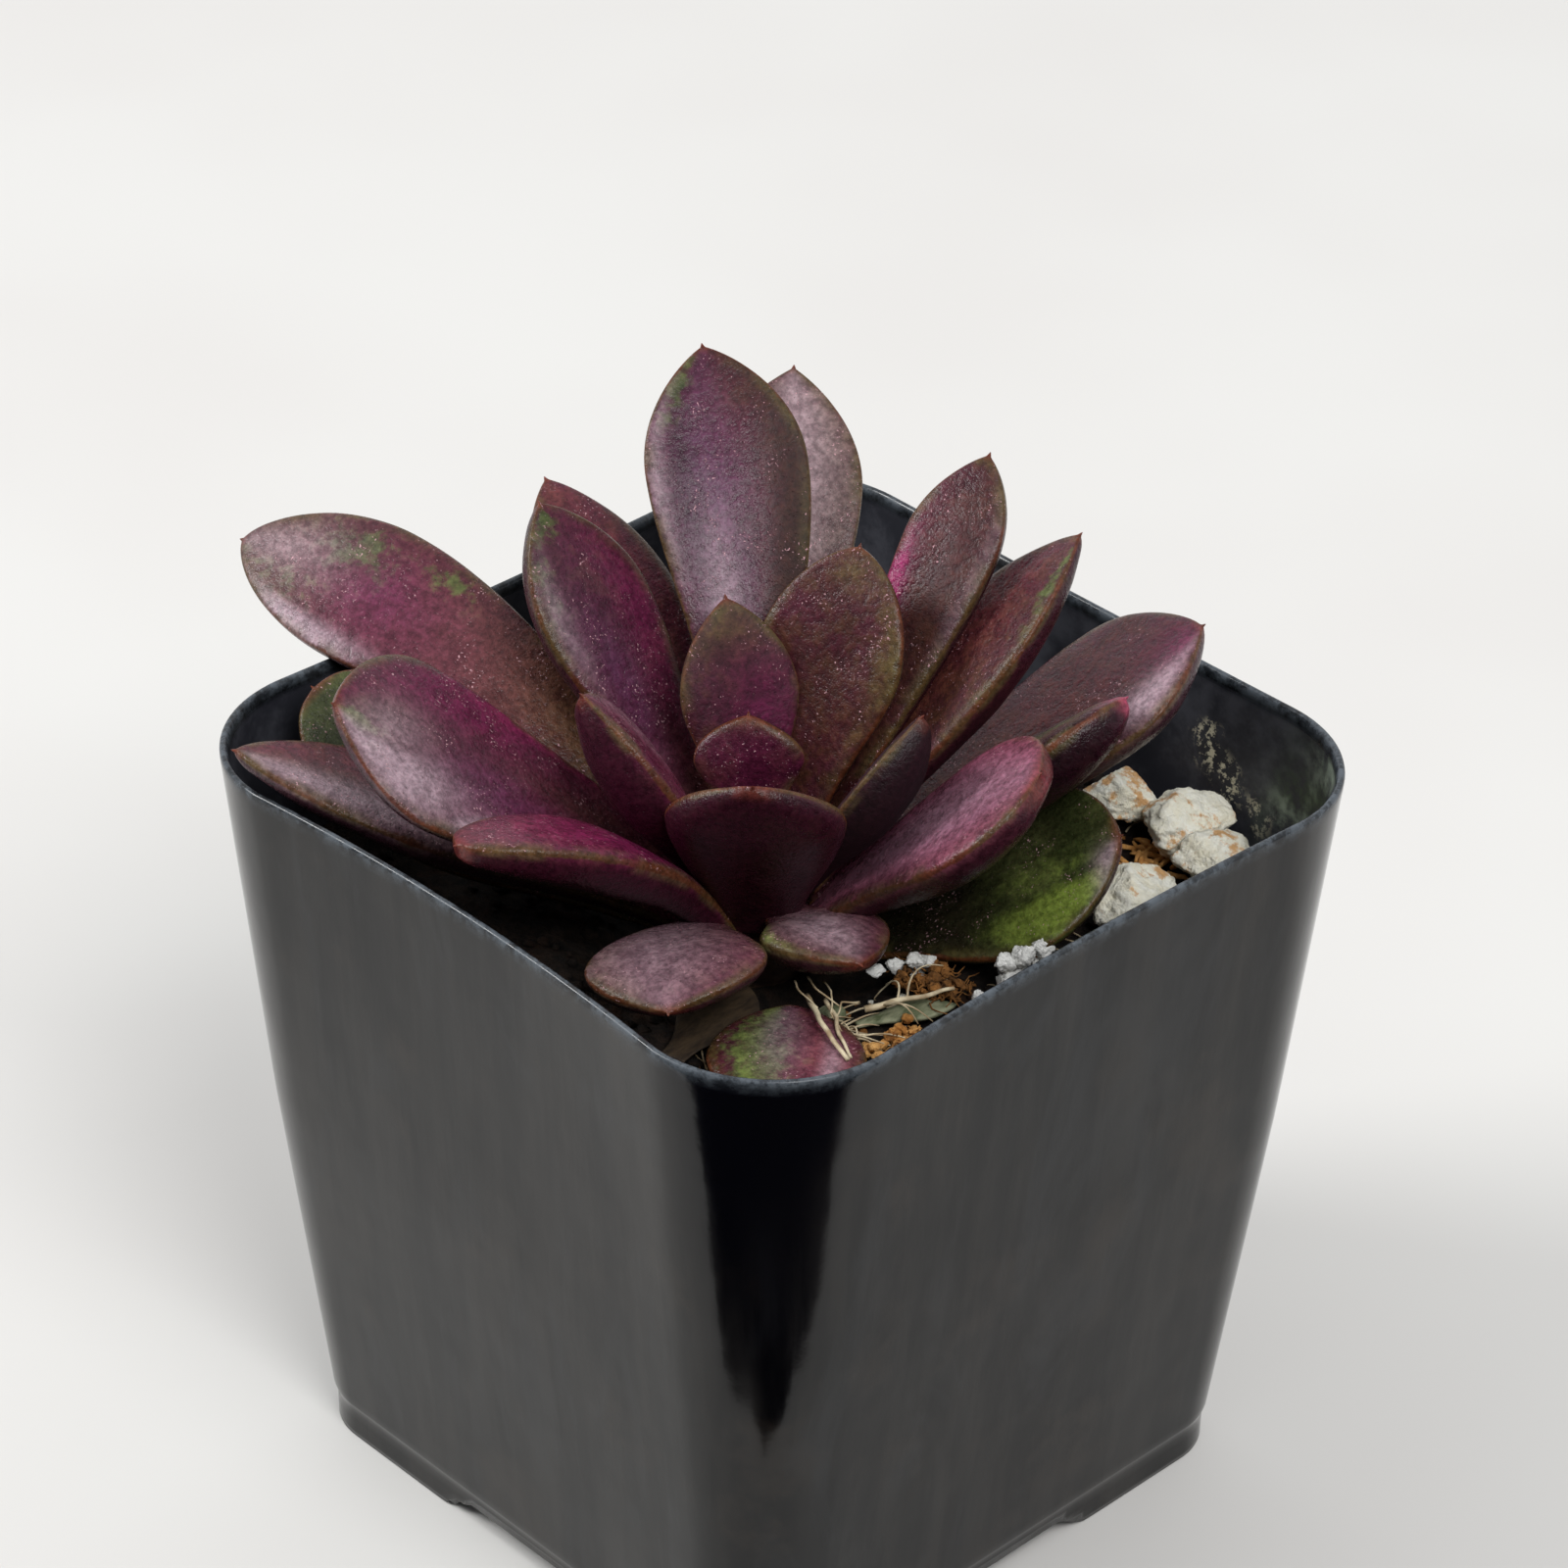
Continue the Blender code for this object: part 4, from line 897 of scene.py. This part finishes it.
def make_stones(pumice, perlite):
    """Porous stones and white grains."""
    for number, (name, (shift, spread, rise)) in enumerate(STONES.items()):
        low, high = node_box(name)
        middle = (low + high) / 2 + np.array([shift, shift, 0.0])
        half = (high - low) / 2
        low = np.array([*(middle - half * spread)[:2], low[2]])
        high = middle + half * np.array([spread, spread, rise])
        add_piece(name + "_stone", *chunk(low, high, SEED + 3 * number), pumice, name, "pumice")
    for number, (name, blocks) in enumerate(PERLITE.items()):
        low, high = node_box(name)
        rng = random.Random(SEED + number)
        parts = []
        for place, half in blocks:
            place, half = np.array(place), np.array(half)
            parts.append(chunk(place - half, place + half, SEED + 40 + number + len(parts), 4, 12, 0.1))
        for _ in range(PERLITE_CRUMBS):
            place = [rng.uniform(low[i], high[i] + 0.5) for i in range(2)] + [low[2] + rng.uniform(0.0, 0.2)]
            parts.append(lump(place, [rng.uniform(0.12, 0.35)] * 3, rng.uniform(0, 9), 3, 0.5, 2.0))
        add_piece(name + "_grains", *join(parts), perlite, name, "perlite")


def make_chips(bright, dark):
    """Crumbly orange and brown chips and a bent straw."""
    for (name, (crumbs, fibres)), material in zip(CHIPS.items(), (bright, dark)):
        low, high = node_box(name)
        rng = random.Random(SEED + len(name) + crumbs)
        parts = []
        for _ in range(crumbs):
            place = [rng.uniform(low[i], high[i]) for i in range(2)] + [rng.uniform(low[2], high[2] + 0.2)]
            size = rng.uniform(0.2, 0.55)
            sizes = [size, size * rng.uniform(0.5, 1.0), size * 0.7]
            parts.append(lump(place, sizes, rng.uniform(0, 9), 3, 0.5, 1.8))
        for _ in range(fibres):
            x, y = (rng.uniform(low[i], high[i]) for i in range(2))
            heading, length, bend = rng.uniform(0, math.tau), rng.uniform(0.6, 2.0), rng.uniform(-2.0, 2.0)
            path = curl(x, y, length, heading, bend, 5,
                        lambda s, px, py: low[2] + 0.3 + rng.uniform(0.0, 0.5))
            parts.append(tube(path, np.linspace(0.07, 0.04, 6), 5))
        add_piece(name + "_crumbs", *join(parts), material, name, "chip")
    low, high = node_box("straw_bit")
    t = np.linspace(0.0, 1.0, 14)[:, None]
    path = np.array([low[0], low[1], high[2]]) * (1 - t) + np.array([high[0], high[1], low[2]]) * t
    path[:, 0] += 0.3 * np.sin(t[:, 0] * 5.0)
    add_piece("straw", *tube(path, 0.12 + 0.06 * np.sin(np.linspace(0, 9, 14))), bright, "straw_bit", "chip")


def through(places, count):
    """Places along a line through others, and points there."""
    places = np.array(places)
    steps = np.linspace(0, len(places) - 1, count)
    return steps, np.stack([np.interp(steps, range(len(places)), axis) for axis in places.T], 1)


def make_roots(material):
    """Thin roots with finer hairs that fan out of their ends."""
    for name, places in ROOTS.items():
        rng = random.Random(SEED + ord(name[-1]))
        steps, xy = through(places, 22)
        xy += np.stack([0.12 * np.sin(steps * 3.1), 0.12 * np.cos(steps * 2.3)], 1)
        path = [(x, y, soil_height(x, y) + ROOT_LIFTS[name]) for x, y in xy]
        parts = [tube(path, np.linspace(0.25, 0.13, 22))]
        for radius, bends in ROOT_FAN if name == "root_a" else []:
            along, curve = through(bends, 16)
            curve[:, 0] += 0.08 * np.sin(along * 5.0 + radius * 90.0)
            parts.append(tube(curve, np.linspace(radius, radius * 0.7, 16)))
        run = math.atan2(places[-1][1] - places[0][1], places[-1][0] - places[0][0])
        for _ in range(ROOT_HAIRS[name]):
            x, y, z = path[rng.randrange(0, 12)]
            heading = run + rng.uniform(-1.5, 1.3)
            length, bend = rng.uniform(1.5, 4.5), rng.uniform(-1.2, 1.2)
            hair = curl(x, y, length, heading, bend, 8,
                        lambda s, px, py: max(z + 0.8 * math.sin(s * 3.0), soil_height(px, py) + 0.3))
            parts.append(tube(hair, np.linspace(0.09, 0.04, 9), 5))
        add_piece(name + "_thread", *join(parts), material, name, "root")


def inside_pot(x, y):
    """True if a place on the soil is inside the pot's wall."""
    half, radius = sections(SOIL_LEVEL)
    half -= POT_WALL + SOIL_CLEAR
    dx, dy = max(abs(x) - (half - radius), 0.0), max(abs(y) - (half - radius), 0.0)
    return abs(x) < half and abs(y) < half and math.hypot(dx, dy) < radius


def make_litter(soil, brown, pale, fibre, bark):
    """Loose crumbs, fibres and splinters over the soil."""
    rng = random.Random(SEED)
    for (name, (count, small, large, begin)), material in zip(LITTER.items(), (soil, brown, pale)):
        parts = []
        while len(parts) < count:
            x, y = (rng.uniform(-LITTER_REACH, LITTER_REACH) for _ in range(2))
            if not inside_pot(x, y) or from_crown(x, y) < CROWN_CLEAR or x < begin:
                continue
            size = rng.uniform(small, large)
            place, sizes = (x, y, soil_height(x, y) + size * 0.1), [size, size * 0.8, size * 0.55]
            parts.append(lump(place, sizes, rng.uniform(0, 9), 2, 0.6, 1.6))
        add_piece(name, *join(parts), material, None, "soil")
    parts = []
    while len(parts) < COIR_COUNT:
        x, y = (rng.uniform(-COIR_REACH, COIR_REACH) for _ in range(2))
        heading, length, bend = rng.uniform(0, math.tau), rng.uniform(1.5, 5.0), rng.uniform(-1.5, 1.5)
        path = curl(x, y, length, heading, bend, 8,
                    lambda s, px, py: soil_height(px, py) + 0.25 + 0.15 * math.sin(s * 6 + bend))
        if x > COIR_FROM and all(inside_pot(*p[:2]) and from_crown(*p[:2]) > CROWN_CLEAR for p in path):
            parts.append(tube(path, np.linspace(0.08, 0.04, 9), 5))
    add_piece("coir_fibres", *join(parts), fibre, None, "soil")
    parts = []
    for _ in range(SPLINTER_COUNT):
        x, y = (rng.gauss(middle, SPLINTER_SPREAD) for middle in SPLINTER_PLACE)
        heading, length = rng.uniform(0, math.tau), rng.uniform(0.8, 2.4)
        path = [(x + length * s * math.cos(heading), y + length * s * math.sin(heading),
                 soil_height(x, y) + 0.4 + rng.uniform(0.0, 0.6)) for s in (0.0, 0.3, 0.7, 1.0)]
        parts.append(tube(path, (0.12, 0.2, 0.18, 0.08), 6))
    add_piece("bark_splinters", *join(parts), bark, None, "soil")


def add_sheet(name, corners, paint):
    """A flat sheet of the stage, from corners in metres."""
    mesh = bpy.data.meshes.new(name)
    mesh.from_pydata(corners, [], [tuple(range(len(corners)))])
    mesh.materials.append(paint)
    made = bpy.data.objects.new(name, mesh)
    bpy.context.scene.collection.objects.link(made)
    return made


def make_stage():
    """A plain pale floor, and a dark card that shows only as a painted dark reflection in the pot's front
    corner.
    """
    s = Shader("floor_paint")
    shade = s.step(s.noise(60.0, 2.0), 0.3, 0.7)
    paint = s.finish(s.mix(shade, srgb(210, 208, 205), srgb(213, 212, 209)), 0.75, Specular_IOR_Level=0.2)
    ends = ((-1, -1), (1, -1), (1, 1), (-1, 1))
    floor = add_sheet("floor", [(x * FLOOR_REACH_M, y * FLOOR_REACH_M, 0) for x, y in ends], paint)
    card_paint = Shader("card_paint").finish(srgb(8, 8, 10), 0.9, Specular_IOR_Level=0.0)
    azimuth = math.radians(CAMERA_AZIMUTH)
    out = np.array([math.sin(azimuth), -math.cos(azimuth), 0.0])
    side = np.array([math.cos(azimuth), math.sin(azimuth), 0.0])
    rng = random.Random(SEED)
    near = [(CARD_NEAR + CARD_SLANT * abs(across) + rng.uniform(0.0, CARD_RAGGED), across)
            for across in np.linspace(-CARD_RAGGED_HALF, CARD_RAGGED_HALF, CARD_TEETH)]
    outline = [(near[0][0], -CARD_HALF), *near, (near[-1][0], CARD_HALF), (CARD_FAR, CARD_HALF),
               (CARD_FAR, -CARD_HALF)]
    corners = [((out * away + side * across + POT_PLACE) * MM + np.array([0, 0, CARD_LIFT_M])).tolist()
               for away, across in outline]
    # Painted reflection: the card is hidden from the camera, diffuse light and shadows, and only darkens
    # what the pot reflects.
    card = add_sheet("dark_card", corners, card_paint)
    card.visible_camera = False
    card.visible_diffuse = False
    card.visible_shadow = False
    card.visible_transmission = False


def area_light(name, place, size, power):
    """A large soft light."""
    light = bpy.data.lights.new(name, "AREA")
    light.shape = "DISK"
    light.size = size
    light.energy = power
    made = bpy.data.objects.new(name, light)
    made.location = place
    made.rotation_euler = (Vector(LAMP_AIM) - Vector(place)).to_track_quat("-Z", "Y").to_euler()
    bpy.context.scene.collection.objects.link(made)


def make_light():
    """A pale sky, a little dimmer overhead and much dimmer low in front, and a lamp on either side."""
    world = bpy.data.worlds.new("sky")
    bpy.context.scene.world = world
    world.use_nodes = True
    tree = world.node_tree
    place = tree.nodes.new("ShaderNodeTexCoord").outputs["Generated"]
    azimuth = math.radians(CAMERA_AZIMUTH)
    front = (math.sin(azimuth), -math.cos(azimuth), SKY_FRONT_DROP)
    product = tree.nodes.new("ShaderNodeMath")
    product.operation = "MULTIPLY"
    for side, (direction, span) in enumerate((((0.0, 0.0, 1.0), SKY_HEIGHT), (front, SKY_FRONT))):
        dot = tree.nodes.new("ShaderNodeVectorMath")
        dot.operation = "DOT_PRODUCT"
        dot.inputs[1].default_value = direction
        tree.links.new(place, dot.inputs[0])
        level = tree.nodes.new("ShaderNodeMapRange")
        tree.links.new(dot.outputs["Value"], level.inputs[0])
        for number, value in enumerate(span):
            level.inputs[number + 1].default_value = value
        tree.links.new(level.outputs[0], product.inputs[side])
    back = tree.nodes["Background"]
    tree.links.new(product.outputs[0], back.inputs["Strength"])
    back.inputs["Color"].default_value = SKY_COLOUR
    area_light("broad_lamp", LAMP_PLACE, LAMP_SIZE, LAMP_POWER)
    area_light("left_lamp", FILL_PLACE, FILL_SIZE, FILL_POWER)
    bpy.context.scene.view_settings.view_transform = "Standard"


def make_camera():
    """The photo's camera."""
    azimuth, elevation, roll = (math.radians(v) for v in (CAMERA_AZIMUTH, CAMERA_ELEVATION, CAMERA_ROLL))
    level = math.cos(elevation)
    back = Vector((math.sin(azimuth) * level, -math.cos(azimuth) * level, math.sin(elevation)))
    right = Vector((math.cos(azimuth), math.sin(azimuth), 0.0))
    up = back.cross(right)
    turned_right = right * math.cos(roll) + up * math.sin(roll)
    turned_up = up * math.cos(roll) - right * math.sin(roll)
    place = Vector((0.0, 0.0, CAMERA_AIM_HEIGHT)) + back * CAMERA_DISTANCE
    place += turned_right * CAMERA_RIGHT + turned_up * CAMERA_UP
    data = bpy.data.cameras.new("camera")
    data.lens = CAMERA_LENS
    data.sensor_width = SENSOR
    camera = bpy.data.objects.new("camera", data)
    turn = Matrix((turned_right, turned_up, back)).transposed()
    camera.matrix_world = Matrix.Translation((place + Vector(POT_PLACE)) * MM) @ turn.to_4x4()
    bpy.context.scene.collection.objects.link(camera)
    bpy.context.scene.camera = camera


def main():
    """Build the looks."""
    make_camera()
    make_light()
    make_stage()
    leaf = leaf_material()
    soil = soil_material()
    bright = crumb_material("orange_chip", srgb(176, 116, 54), srgb(232, 178, 108), srgb(120, 74, 36))
    dark = crumb_material("brown_chip", srgb(84, 56, 30), srgb(166, 112, 58), srgb(48, 32, 20))
    pumice = crumb_material("pumice", srgb(246, 240, 216), srgb(255, 254, 242), srgb(214, 156, 84),
                            (0.53, 0.62))
    perlite = crumb_material("perlite", srgb(222, 222, 218), srgb(250, 250, 246), srgb(200, 194, 180))
    root = root_material()
    make_pot(pot_material())
    make_soil(soil)
    make_rosette(leaf)
    make_loose_leaves(leaf)
    make_stones(pumice, perlite)
    make_chips(bright, dark)
    make_roots(root)
    make_litter(soil, dark, pumice, root, bright)
    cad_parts["stem"].data.materials.clear()
    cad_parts["stem"].data.materials.append(stem_material())
    bpy.context.view_layer.update()


main()
